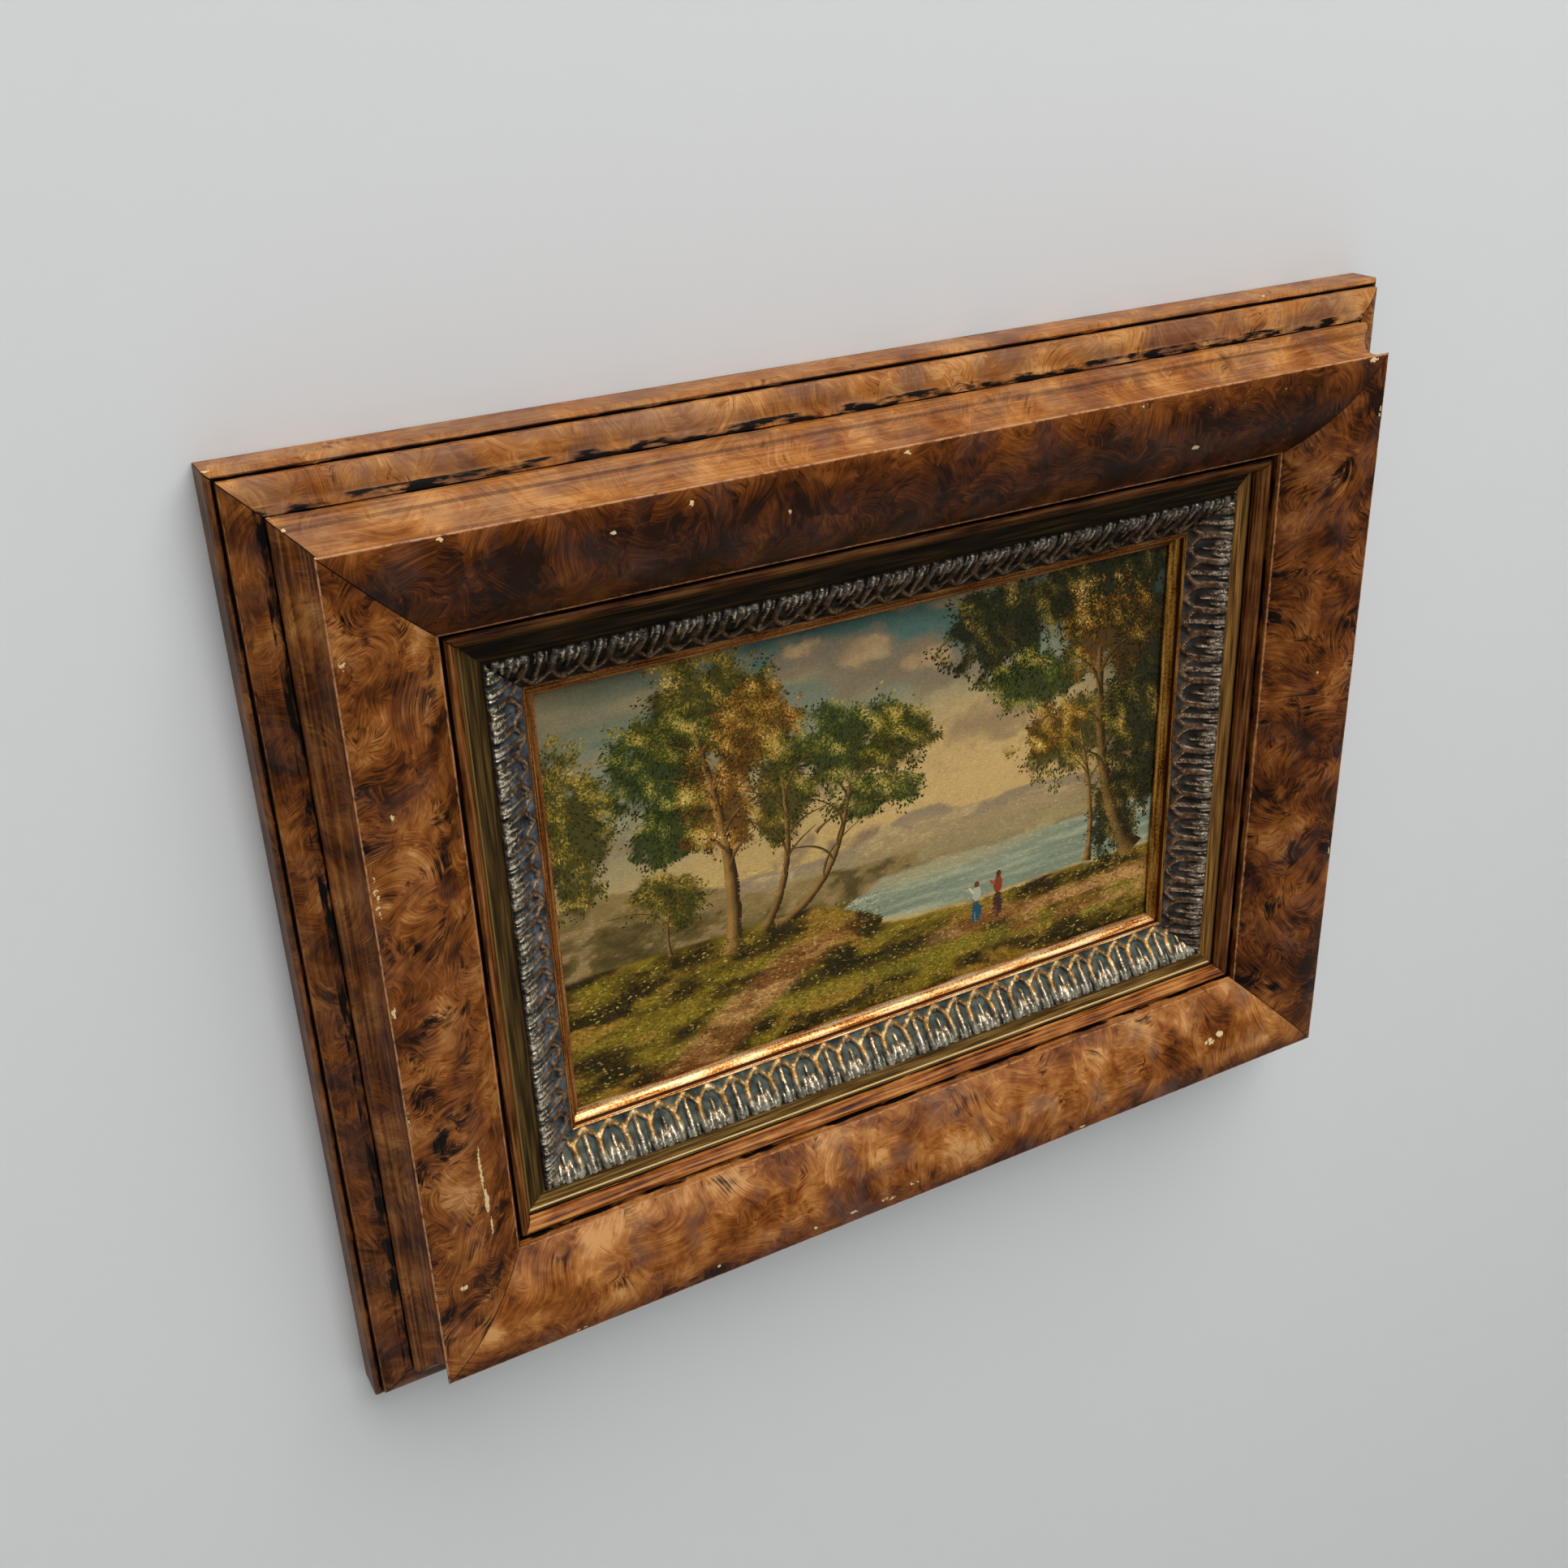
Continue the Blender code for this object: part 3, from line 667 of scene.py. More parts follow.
# Pairs are for the outside and the face. Dark is how many dark wedges there are, stroke
# how strong the bristle lines are, clouds how strong the broad tone clouds are, and tight
# is how rare the small dabs are. The rest is painted light and shade, rail by rail: lift
# is painted light when above zero and painted shade when below, the sheen amount is the
# painted sheen, plain is how grey the side by the wall is, mostly painted shade, the slope
# shade is painted shade on the slope by the picture, and the edge light and shade is
# painted on the face's outer edge.
LOOKS = {
    "bottom": dict(
        dark=0.82, stroke=0.42, clouds=1.0, lift=(0.0, 0.04), painted_sheen_amount=(0.6, 0.5), plain=0.6, sight=0.0,
        edge_light_and_shade=-0.20, tight=0.53
    ),
    "left": dict(
        dark=0.91, stroke=0.62, clouds=1.0, lift=(-0.12, -0.04), painted_sheen_amount=(0.2, 0.15), plain=0.9,
        sight=0.45, edge_light_and_shade=0.0, tight=0.48
    ),
    "top": dict(
        dark=0.79, stroke=0.46, clouds=0.5, lift=(0.24, -0.01), painted_sheen_amount=(0.55, 0.2), plain=0.2,
        sight=0.66, edge_light_and_shade=0.14, tight=0.48
    ),
    "right": dict(
        dark=0.93, stroke=0.65, clouds=0.9, lift=(0.0, -0.08), painted_sheen_amount=(0.3, 0.2), plain=0.5,
        sight=0.58, edge_light_and_shade=0.0, tight=0.48
    ),
}
RUN_STEP = 2.4
SHARP_ANGLE = math.radians(38.0)


def point_outwards(mesh):
    """Makes a closed mesh's faces point out, and shades it smooth but for its sharp edges."""
    bm = bmesh.new()
    bm.from_mesh(mesh)
    bmesh.ops.recalc_face_normals(bm, faces=bm.faces[:])
    bm.to_mesh(mesh)
    bm.free()
    mesh.shade_smooth()
    mesh.set_sharp_from_angle(angle=SHARP_ANGLE)


def finish_back(mesh, finish, behind):
    """Gives another material to the faces that lie behind a plane, seen from the front."""
    mesh.materials.append(finish)
    centres = np.empty(3 * len(mesh.polygons))
    mesh.polygons.foreach_get("center", centres)
    index = (centres[1::3] > -behind * MM).astype(np.int32)
    mesh.polygons.foreach_set("material_index", index)


for number, (rail, (half_length, half_across, turn, wood)) in enumerate(RAILS.items()):
    mesh = grow("moulding_" + rail, moulding_seed, MOULDING_TREE, {
        "Half Length": half_length * MM, "Half Across": half_across * MM,
        "Mitre Gap": MITRE_GAP * MM, "Steps": int(2 * half_length / RUN_STEP),
        "Waver": 0.16 * MM, "Waver Size": 90.0, "Turn": math.radians(turn),
        "Centre Height": CENTRE_HEIGHT * MM, "Seed": float(number),
        "Finish": burl_lacquer(rail, number + 1, LOOKS[rail]),
    })
    point_outwards(mesh)
    finish_back(mesh, wood, 0.02)
    finished_piece("rail_" + rail, mesh, "frame", "frame_" + rail)

# %% [markdown]
# ## The liner's carving
# The liner is a second, smaller moulding with a row of leaves pressed in composition, a
# putty of chalk, glue and resin. One pair of leaves repeats every 10.8 mm: a leaf with
# scrolls at its root, then a plain one with a midrib. Each vein and scroll is a ridge
# along a short path, so the height at a point only depends on how near a path it is.

# %% The paths of the ridges, in millimetres
LEAF_PAIR = 10.8
CARVING_WIDTH = 8.0
CARVING_DROP = 4.8
GROUND_SINK = 0.25

# path of (sideways, towards the tip), half width, height, and how rubbed it is
RIDGES = [
    ([(0.0, 7.5), (0.9, 7.0), (1.8, 6.2), (2.6, 5.2)], 0.62, 0.58, 0.85),
    ([(5.4, 7.5), (4.5, 7.0), (3.5, 6.2), (2.6, 5.2)], 0.62, 0.58, 0.85),
    ([(2.6, 5.4), (2.85, 4.2), (2.95, 2.8), (2.85, 1.5), (2.6, 0.6)], 0.88, 0.72, 0.75),
    ([(2.6, 0.8), (2.15, 0.7), (1.95, 1.3)], 0.46, 0.50, 0.85),
    ([(0.0, 0.7), (0.0, 2.6)], 0.95, 0.80, 0.9),
    ([(0.0, 2.4), (0.0, 4.9)], 0.45, 0.66, 1.0),
    ([(1.30, 0.8), (1.45, 1.9), (1.10, 3.2)], 0.55, 0.64, 1.0),
    ([(5.4, 6.9), (5.4, 3.4), (5.4, 0.6)], 0.68, 0.60, 0.95),
    ([(4.4, 0.5), (4.35, 2.2)], 0.42, 0.40, 0.85),
    ([(0.0, 6.9), (0.0, 7.5)], 0.72, 0.56, 0.85),
    ([(5.4, 6.2), (5.4, 7.4)], 0.74, 0.54, 0.85),
]


def path_distance(x, y, path):
    """How far each point lies from a path of straight pieces, and how far along it that is."""
    nearest = np.full(x.shape, 1e9)
    share = np.zeros(x.shape)
    for number, ((ax, ay), (bx, by)) in enumerate(zip(path, path[1:])):
        run = np.array((bx - ax, by - ay))
        t = np.clip(((x - ax) * run[0] + (y - ay) * run[1]) / (run @ run), 0.0, 1.0)
        away = np.hypot(x - ax - t * run[0], y - ay - t * run[1])
        closer = away < nearest
        nearest = np.where(closer, away, nearest)
        share = np.where(closer, (number + t) / (len(path) - 1), share)
    return nearest, share


def leaf_relief(x, y):
    """Height of the carving over its ground, and how rubbed it is, at points of one pair."""
    height = np.zeros(x.shape)
    rubbed = np.zeros(x.shape)
    for path, half_width, top, rub in RIDGES:
        for side in (-1.0, 1.0):
            for shift in (-LEAF_PAIR, 0.0, LEAF_PAIR):
                away, share = path_distance(side * (x - shift), y, path)
                fall = np.clip(1.0 - (away / half_width) ** 2, 0.0, 1.0)
                ridge = top * fall ** 0.75 * (0.85 + 0.15 * np.sin(np.pi * share))
                rubbed = np.where(ridge > height, rub * fall, rubbed)
                height = np.maximum(height, ridge)
    return height, rubbed


sample_height, sample_rub = leaf_relief(np.array([0.0, 5.4, 2.7]), np.array([1.6, 4.0, 7.8]))
print("heights on a boss, a midrib and the ground, mm:", sample_height.round(2))

# %% [markdown]
# ## One pair of leaves as a tile
# The tile is a short length of the whole liner, with the leaves on its front. A tree
# then sets the tile down again and again along the rail, which is how the composition
# maker's mould works too, and welds the joins.

# %% The tile
LINER_OUTER, MARGIN_START, MARGIN_END = 28.7, 33.7, 37.5
MARGIN_FORWARD, CARVING_FORWARD, GILT_FORWARD = 10.8, 11.4, 6.6
LINER_CEILING = 3.9
GILT_COVE = 1.7
TILE_STEPS = 46
CARVING_ROWS = 37

gilt_members = [
    (0.45, 0.0, 0.18, 3), (0.45, 0.0, 0.18, 3), (0.0, -0.5, 0.0, 1),
    (GILT_COVE, -GILT_COVE, -0.35, 5), (0.0, -0.5, 0.0, 1), (-6.5, 0.0, 0.0, 1),
    (0.0, -LINER_CEILING, 0.0, 1),
]
margin_members = [
    (0.0, MARGIN_FORWARD, 0.0, 1), (MARGIN_START - LINER_OUTER, 0.0, 0.0, 1),
    (0.4, 0.0, 0.2, 3), (MARGIN_END - MARGIN_START - 0.4, 0.0, 0.0, 2),
]


def pen_line(start, members):
    """A plain section: the start, then each member's points."""
    points = [start]
    for inward, forward, bow, steps in members:
        here = points[-1]
        points += bowed(here, (here[0] + inward, here[1] + forward), bow, steps)
    return points


def liner_tile():
    """A length of liner one pair of leaves long: places, marks and faces, open at both ends."""
    before = pen_line((LINER_OUTER, 0.0), margin_members)
    after = pen_line((MARGIN_END + CARVING_WIDTH, GILT_FORWARD), gilt_members)
    shares = np.linspace(0.0, 1.0, CARVING_ROWS)
    xs = np.linspace(-LEAF_PAIR / 2, LEAF_PAIR / 2, TILE_STEPS + 1)
    grid_x, grid_t = np.meshgrid(xs, shares, indexing="ij")
    height, rubbed = leaf_relief(grid_x, grid_t * CARVING_WIDTH)
    edge = np.clip(np.minimum(grid_t, 1.0 - grid_t) / 0.04, 0.0, 1.0)
    sunk = -GROUND_SINK * np.clip(1.0 - height / 0.25, 0.0, 1.0)
    ogee = CARVING_DROP * grid_t ** 2 * (3.0 - 2.0 * grid_t)
    front = CARVING_FORWARD - ogee + edge * (height + sunk)
    places, relief, rub = [], [], []
    for column, x in enumerate(xs):
        ring = [(u, v, 0.0, 0.0) for u, v in before]
        ring += [
            (MARGIN_END + t * CARVING_WIDTH, front[column, row], height[column, row],
             rubbed[column, row])
            for row, t in enumerate(shares)
        ]
        ring += [(u, v, 0.0, 0.0) for u, v in after[1:]]
        places += [(x * MM, -v * MM, u * MM) for u, v, h, r in ring]
        relief += [h for u, v, h, r in ring]
        rub += [r for u, v, h, r in ring]
    count = len(ring)
    faces = [
        (a * count + i, a * count + (i + 1) % count, (a + 1) * count + (i + 1) % count,
         (a + 1) * count + i)
        for a in range(TILE_STEPS) for i in range(count)
    ]
    mesh = bpy.data.meshes.new("liner_tile")
    mesh.from_pydata(places, [], faces)
    mesh.attributes.new("relief", "FLOAT", "POINT").data.foreach_set("value", relief)
    mesh.attributes.new("rubbed", "FLOAT", "POINT").data.foreach_set("value", rub)
    inward = np.array(places)[:, 2] / MM
    mesh.attributes.new("inward", "FLOAT", "POINT").data.foreach_set("value", inward)
    return mesh


tile = liner_tile()
print("one pair of leaves has", triangles(tile), "triangles")

# %% The tree that repeats the tile along a rail
tree, given = new_tree("repeat_leaves", "GeometryNodeTree", {
    "Geometry": "Geometry", "Pairs": "Int", "Pair Length": "Float", "Half Across": "Float",
    "Softness": "Float", "Seed": "Float", "Finish": "Material",
}, {"Geometry": "Geometry"})
LEAF_TREE = tree
half = add(tree, "Math ADD", given["Pairs"], -1.0)
half = add(tree, "Math MULTIPLY", half, given["Pair Length"])
start = add(tree, "Math MULTIPLY", half, -0.5)
start = add(tree, "CombineXYZ", start)
stride = add(tree, "CombineXYZ", given["Pair Length"])
spots = add(
    tree, "GeometryNodeMeshLine",
    {"Count": given["Pairs"], "Start Location": start, "Offset": stride}
)
row = add(tree, "GeometryNodeInstanceOnPoints", {"Points": spots, "Instance": given["Geometry"]})
row = add(tree, "GeometryNodeRealizeInstances", row)
row = add(tree, "GeometryNodeMergeByDistance", {"Geometry": row, "Distance": 0.004 * MM})

# Old composition is soft: no two leaves are quite alike
place = add(tree, "GeometryNodeInputPosition")
noise = add(tree, "TexNoise 4D", place, given["Seed"], 900.0, 2.0, out="Color")
centred = add(tree, "VectorMath SUBTRACT", noise, (0.5, 0.5, 0.5))
relief = add(tree, "GeometryNodeInputNamedAttribute FLOAT", "relief")
carved = add(tree, "Math MULTIPLY_ADD", relief, 3.0, 0.12, use_clamp=True)
inward = add(tree, "GeometryNodeInputNamedAttribute FLOAT", "inward")
for low, high in ((36.0, 38.5), (46.4, 45.0)):
    inside = add(tree, "MapRange", inward, low, high)
    carved = add(tree, "Math MULTIPLY", carved, inside)
strength = add(tree, "Math MULTIPLY", carved, given["Softness"])
sway = add(tree, "VectorMath SCALE", centred, strength)
drop = add(tree, "Math MULTIPLY", given["Half Across"], -1.0)
drop = add(tree, "CombineXYZ", {"Z": drop})
moved = add(tree, "VectorMath ADD", sway, drop)
row = add(tree, "GeometryNodeSetPosition", {"Geometry": row, "Offset": moved})
along = add(tree, "SeparateXYZ", place)
along = add(tree, "Math MULTIPLY", along, 1.0 / MM)
row = add(
    tree, "GeometryNodeStoreNamedAttribute", {"Geometry": row, "Name": "along", "Value": along},
    data_type="FLOAT", domain="POINT"
)
row = add(tree, "GeometryNodeSetMaterial", {"Geometry": row, "Material": given["Finish"]})
add(tree, "NodeGroupOutput", {"Geometry": row})
print(tree.name, "has", len(tree.nodes), "nodes")

# %% [markdown]
# ## Silvered and gilt composition
# The liner was gilded with silver and gold leaf, painted slate grey-blue in the hollows,
# and rubbed back so that the metal shows on the high parts. The margin is olive gold and
# the edge by the picture a bright warm gold over red bole. Leaf is metal, so it keeps the
# default IOR; the paint in the hollows is matt, so its specular level is low. Bole and
# dirt come through in specks. Each rail's colours are painted with its own light and
# shade, brightest on the bottom rail and nearly black on the top, and the pale glints on
# the rubbed ridges are painted highlights.

# %% Liner material
# Millimetres inwards: where the margin turns to carving, and the carving to the gilt edge
CARVING_ZONE = (MARGIN_END - 0.1, MARGIN_END + 0.2)
EDGE_ZONE = (MARGIN_END + CARVING_WIDTH - 0.2, MARGIN_END + CARVING_WIDTH + 0.1)
GILT_CORNER, GILT_CORNER_LINE = 46.4, 0.10
LIP, LIP_LINE = 33.9, 0.26


def rubbed_leaf(name, seed, tones):
    """Silver and gold leaf over slate paint, with its rail's painted light and shade; across the
    liner the finish changes by zone.
    """
    finish, tree, shader = new_finish(name)
    marks = {
        label: add(tree, "Attribute", attribute_name=label, out="Fac")
        for label in ("along", "inward", "relief", "rubbed")
    }
    place = add(tree, "TexCoord", out="Object")
    place = add(tree, "VectorMath SCALE", place, 1.0 / MM)
    fine = add(tree, "TexNoise 4D", place, seed, 2.6, 3.0)
    broad = add(tree, "TexNoise 4D", place, seed, 0.45, 2.0)

    worn = add(tree, "TexNoise 4D", place, seed + 9.0, 1.1, 4.0)
    worn = add(tree, "MapRange", worn, 0.54, 0.62, 0.0, 0.7)
    ground, root, tip = [
        add(tree, "ValToRGB", broad, stops=[*zip((0.3, 0.5, 0.7), tones[part])])
        for part in ("ground", "root", "tip")
    ]
    # The ground of the carving darkens towards the margin
    darker_by_margin = add(tree, "MapRange", marks["inward"], 40.5, 38.0, 0.0, 0.75)
    ground = add(tree, "Mix RGBA", darker_by_margin, ground, linear("#120e09"))
    tipwards = add(tree, "MapRange", marks["inward"], 39.3, 42.0)
    golden = add(tree, "Mix RGBA", tipwards, root, tip)
    lit = add(tree, "Math MULTIPLY", fine, marks["rubbed"])
    lit = add(tree, "MapRange", lit, tones["glint_from"], tones["glint_from"] + 0.12)
    shown = add(tree, "MapRange", tipwards, 0.0, 1.0, 1.0, tones["tip_glint"])
    lit = add(tree, "Math MULTIPLY", lit, shown)
    golden = add(tree, "Mix RGBA", lit, golden, linear(tones["glint"]))
    raised = add(tree, "Math MULTIPLY_ADD", fine, 0.5, -0.25)
    raised = add(tree, "Math ADD", marks["relief"], raised)
    raised = add(tree, "MapRange", raised, 0.16, 0.30)
    golden = add(tree, "Mix RGBA", worn, golden, linear(tones["worn"]))
    carved = add(tree, "Mix RGBA", raised, ground, golden)

    runs = add(tree, "CombineXYZ", marks["along"], marks["inward"])
    runs = add(tree, "VectorMath MULTIPLY", runs, (0.07, 2.0, 0.0))
    runs = add(tree, "TexNoise 2D", runs, 1.0, 4.0)
    margin = add(tree, "ValToRGB", runs, stops=[*zip((0.34, 0.5, 0.68), tones["margin"])])
    bole = add(tree, "Math MULTIPLY", runs, 0.6)
    bole = add(tree, "Math MULTIPLY_ADD", fine, 0.4, bole)
    edge = add(tree, "ValToRGB", bole, stops=[*zip((0.38, 0.45, 0.54, 0.66), tones["edge"])])

    colour = margin
    for (low, high), inner in ((CARVING_ZONE, carved), (EDGE_ZONE, edge)):
        share = add(tree, "MapRange", marks["inward"], low, high)
        colour = add(tree, "Mix RGBA", share, colour, inner)
    # A red-brown line at the gilt corner, and the lip line in the rail's own colour: a pale painted
    # highlight on the bottom rail, dark with painted shade on the top
    for middle_line, width, tint in (
        (GILT_CORNER, GILT_CORNER_LINE, "#5a2f12"), (LIP, LIP_LINE, tones["lip"])
    ):
        line = add(tree, "Math COMPARE", marks["inward"], middle_line, width)
        colour = add(tree, "Mix RGBA", line, colour, linear(tint))
    tree.links.new(colour, shader.inputs["Base Color"])

    metal = add(tree, "Math MAXIMUM", raised, share)
    metal = add(tree, "Math MULTIPLY", metal, 0.75)
    tree.links.new(metal, shader.inputs["Metallic"])
    rough = add(tree, "MapRange", metal, 0.0, 1.0, 0.68, 0.34)
    tree.links.new(rough, shader.inputs["Roughness"])
    shader.inputs["Specular IOR Level"].default_value = 0.1
    bump = add(tree, "Bump", {"Height": fine, "Strength": 0.5, "Distance": 0.06 * MM})
    tree.links.new(bump, shader.inputs["Normal"])
    return finish


print("the gilt edge starts", MARGIN_END + CARVING_WIDTH, "mm in")

# %% [markdown]
# ## Sawing and joining the liner
# A row of tiles is longer than the rail. Here a saw is used after all: the row is cut by
# the two mitre planes, and each cut end is closed with one face.

# %% Cut the liner's rails


def saw_mitres(mesh, half_length, half_across):
    """Cuts both ends of a rail at 45 degrees and closes them."""
    bm = bmesh.new()
    bm.from_mesh(mesh)
    reach = (half_length - MITRE_GAP * math.sqrt(0.5)) * MM
    for side in (-1.0, 1.0):
        bmesh.ops.bisect_plane(
            bm, geom=bm.verts[:] + bm.edges[:] + bm.faces[:], dist=1e-8, clear_outer=True,
            plane_co=(side * reach, 0.0, -half_across * MM), plane_no=(side, 0.0, 1.0),
        )
        bmesh.ops.contextual_create(bm, geom=[edge for edge in bm.edges if edge.is_boundary])
    bm.to_mesh(mesh)
    bm.free()


# Each rail has its own copy of the liner's colours, lit and shaded as the light falls on it: the
# bottom rail's are the brightest and the top rail's nearly black with painted shade. The glint
# colours are painted highlights on the rubbed ridges; glint_from and tip_glint set where they show.
LINER_TONES_LIT_AND_SHADED = {
    "bottom": dict(
        ground=("#28302f", "#46504d", "#6c7062"), root=("#5d594b", "#98927f", "#cbc4b2"),
        tip=("#6b4a22", "#a07a44", "#cfb07c"), worn="#4f3a1e", lip="#e0c288",
        glint="#f8eed8", glint_from=0.40, tip_glint=0.75,
        margin=("#4c3616", "#755729", "#a08045"), edge=("#7a3f18", "#c4803c", "#eac088", "#ffecc2"),
    ),
    "left": dict(
        ground=("#24282b", "#495157", "#757c80"), root=("#3a342b", "#6f6757", "#a89e87"),
        tip=("#4a3524", "#765a42", "#9c8063"), worn="#3d2a1a", lip="#7d6636",
        glint="#fbf0d6", glint_from=0.33, tip_glint=0.25,
        margin=("#2a1e0c", "#443214", "#614a22"), edge=("#4f2810", "#8a5220", "#a8703a", "#c9965c"),
    ),
    "top": dict(
        ground=("#0f0c09", "#211c15", "#3c352c"), root=("#312b24", "#544d46", "#7e766c"),
        tip=("#31241a", "#523f2d", "#7b6249"), worn="#1d140c", lip="#4a381c",
        glint="#c8bda9", glint_from=0.38, tip_glint=0.3,
        margin=("#120c05", "#20170a", "#372810"), edge=("#3a1c0a", "#6e3c14", "#8a5a2a", "#a67840"),
    ),
    "right": dict(
        ground=("#242220", "#3b3835", "#57534d"), root=("#372e24", "#62564a", "#8f8473"),
        tip=("#3f2a1c", "#6b4e38", "#957656"), worn="#34210f", lip="#8a6836",
        glint="#cdbfa6", glint_from=0.38, tip_glint=0.7,
        margin=("#4a3012", "#744e22", "#9c743a"), edge=("#44260c", "#7d5018", "#a87832", "#c89a54"),
    ),
}
for number, (rail, (half_length, half_across, turn, wood)) in enumerate(RAILS.items()):
    finish = rubbed_leaf("rubbed_leaf_" + rail, float(number), LINER_TONES_LIT_AND_SHADED[rail])
    pairs = 2 * math.ceil(half_length / LEAF_PAIR) + 1
    mesh = grow("liner_" + rail, tile, LEAF_TREE, {
        "Pairs": pairs, "Pair Length": LEAF_PAIR * MM, "Half Across": half_across * MM,
        "Softness": 0.40 * MM, "Seed": 4.0 + number, "Finish": finish,
    })
    saw_mitres(mesh, half_length, half_across)
    turned = Matrix.Rotation(math.radians(turn), 4, "Y")
    mesh.transform(Matrix.Translation((0.0, 0.0, CENTRE_HEIGHT * MM)) @ turned)
    point_outwards(mesh)
    finish_back(mesh, wood, 3.8)
    finished_piece("carved_" + rail, mesh, "liner", "liner_" + rail)

# %% [markdown]
# ## Planning the painting
# The picture is a generic river landscape of the same colours and broad areas as the
# real one: a dusky sky with a warm glow, hills, pale water, ochre ground and dark trees
# on both sides. A painter first blocks these areas in with thin paint. The same is done
# here with small functions of the place on the board, from 0 to 1 across and down.

# %% Painter's helpers


def rgb(hex_colour):
    """An sRGB hex colour as a linear colour to paint with."""
    return np.array(linear(hex_colour)[:3])


def blend_in(under, over, share):
    """Paints one colour over another, as strongly as the share says at each place."""
    under, over = [rgb(c) if isinstance(c, str) else c for c in (under, over)]
    return under + (over - under) * np.clip(share, 0.0, 1.0)[..., None]


def soft_noise(x, y, size, seed, octaves=3):
    """Smooth noise from 0 to 1 with features of the given size, in shares of the width."""
    total = np.zeros(np.broadcast(x, y).shape)
    weight = 0.0
    for octave in range(octaves):
        table = np.random.default_rng(seed + octave).random((97, 97))
        u, v = np.asarray(x) * 2 ** octave / size + 40.0, np.asarray(y) * 2 ** octave / size + 40.0
        i, j = np.floor(u).astype(int), np.floor(v).astype(int)
        a, b = u - i, v - j
        a, b = a * a * (3 - 2 * a), b * b * (3 - 2 * b)
        i, j, k, m = i % 97, j % 97, (i + 1) % 97, (j + 1) % 97
        low = table[i, j] * (1 - a) + table[k, j] * a
        high = table[i, m] * (1 - a) + table[k, m] * a
        total += (low * (1 - b) + high * b) * 0.55 ** octave
        weight += 0.55 ** octave
    return total / weight


def rise(value, low, high):
    """From 0 at low to 1 at high, with soft ends; low may be the greater."""
    t = np.clip((value - low) / (high - low), 0.0, 1.0)
    return t * t * (3 - 2 * t)


def blob(x, y, cx, cy, wide, tall):
    """1 in the middle of an ellipse, 0 at its rim."""
    return np.clip(1.0 - ((x - cx) / wide) ** 2 - ((y - cy) / tall) ** 2, 0.0, 1.0)


print("noise in the middle:", round(float(soft_noise(0.5, 0.5, 0.1, 1)), 3))

# %% Blocking in the sky


def paint_sky(x, y):
    """Dusky teal above, grey-mauve clouds, and a warm glow over the horizon."""
    stops = (0.0, 0.10, 0.24, 0.38, 0.60)
    tones = [rgb(c) for c in ("#2f5056", "#4d6c6c", "#7d8674", "#ae9c70", "#bba267")]
    colour = np.stack([np.interp(y, stops, [tone[k] for tone in tones]) for k in range(3)], -1)
    colour = blend_in(colour, "#6a6a56", 0.8 * rise(x, 0.30, 0.0) * rise(y, 0.35, 0.05))
    colour = blend_in(colour, "#7c8678", 0.7 * blob(x, y, 0.10, 0.30, 0.16, 0.26))
    drift = soft_noise(x, y * 2.2, 0.16, 11)
    colour = blend_in(colour, "#857f69", 0.9 * rise(drift, 0.50, 0.75) * rise(y, 0.50, 0.2))
    colour = blend_in(colour, "#3c6066", 0.8 * rise(drift, 0.44, 0.25) * rise(y, 0.36, 0.1))
    mist = soft_noise(x, y * 1.4, 0.09, 17, 4)
    colour = colour * (0.86 + 0.28 * mist)[..., None]
    colour = blend_in(colour, "#c4aa76", 0.88 * blob(x, y, 0.66, 0.43, 0.32, 0.26))
    puffs = soft_noise(x, y * 0.9, 0.06, 23, 6)
    for cx, cy, wide, tall in (
        (0.49, 0.11, 0.13, 0.09), (0.60, 0.17, 0.10, 0.09), (0.40, 0.06, 0.09, 0.06),
        (0.68, 0.33, 0.14, 0.07)
    ):
        body = 0.6 * blob(x, y, cx, cy, wide, tall)
        lit = 0.6 * blob(x, y, cx - 0.01, cy - 0.02, wide * 0.8, tall * 0.7)
        colour = blend_in(colour, "#77695a", 0.7 * rise(body + puffs, 0.60, 0.92))
        colour = blend_in(colour, "#b49c76", 0.65 * rise(lit + puffs, 0.86, 1.06))
    grain = soft_noise(x, y * 0.63, 0.008, 61, 2)
    colour = colour * (0.92 + 0.16 * grain)[..., None]
    return colour


print("the sky's glow, linear:", paint_sky(np.array([0.66]), np.array([0.45])).round(3))

# %% Blocking in the land and water


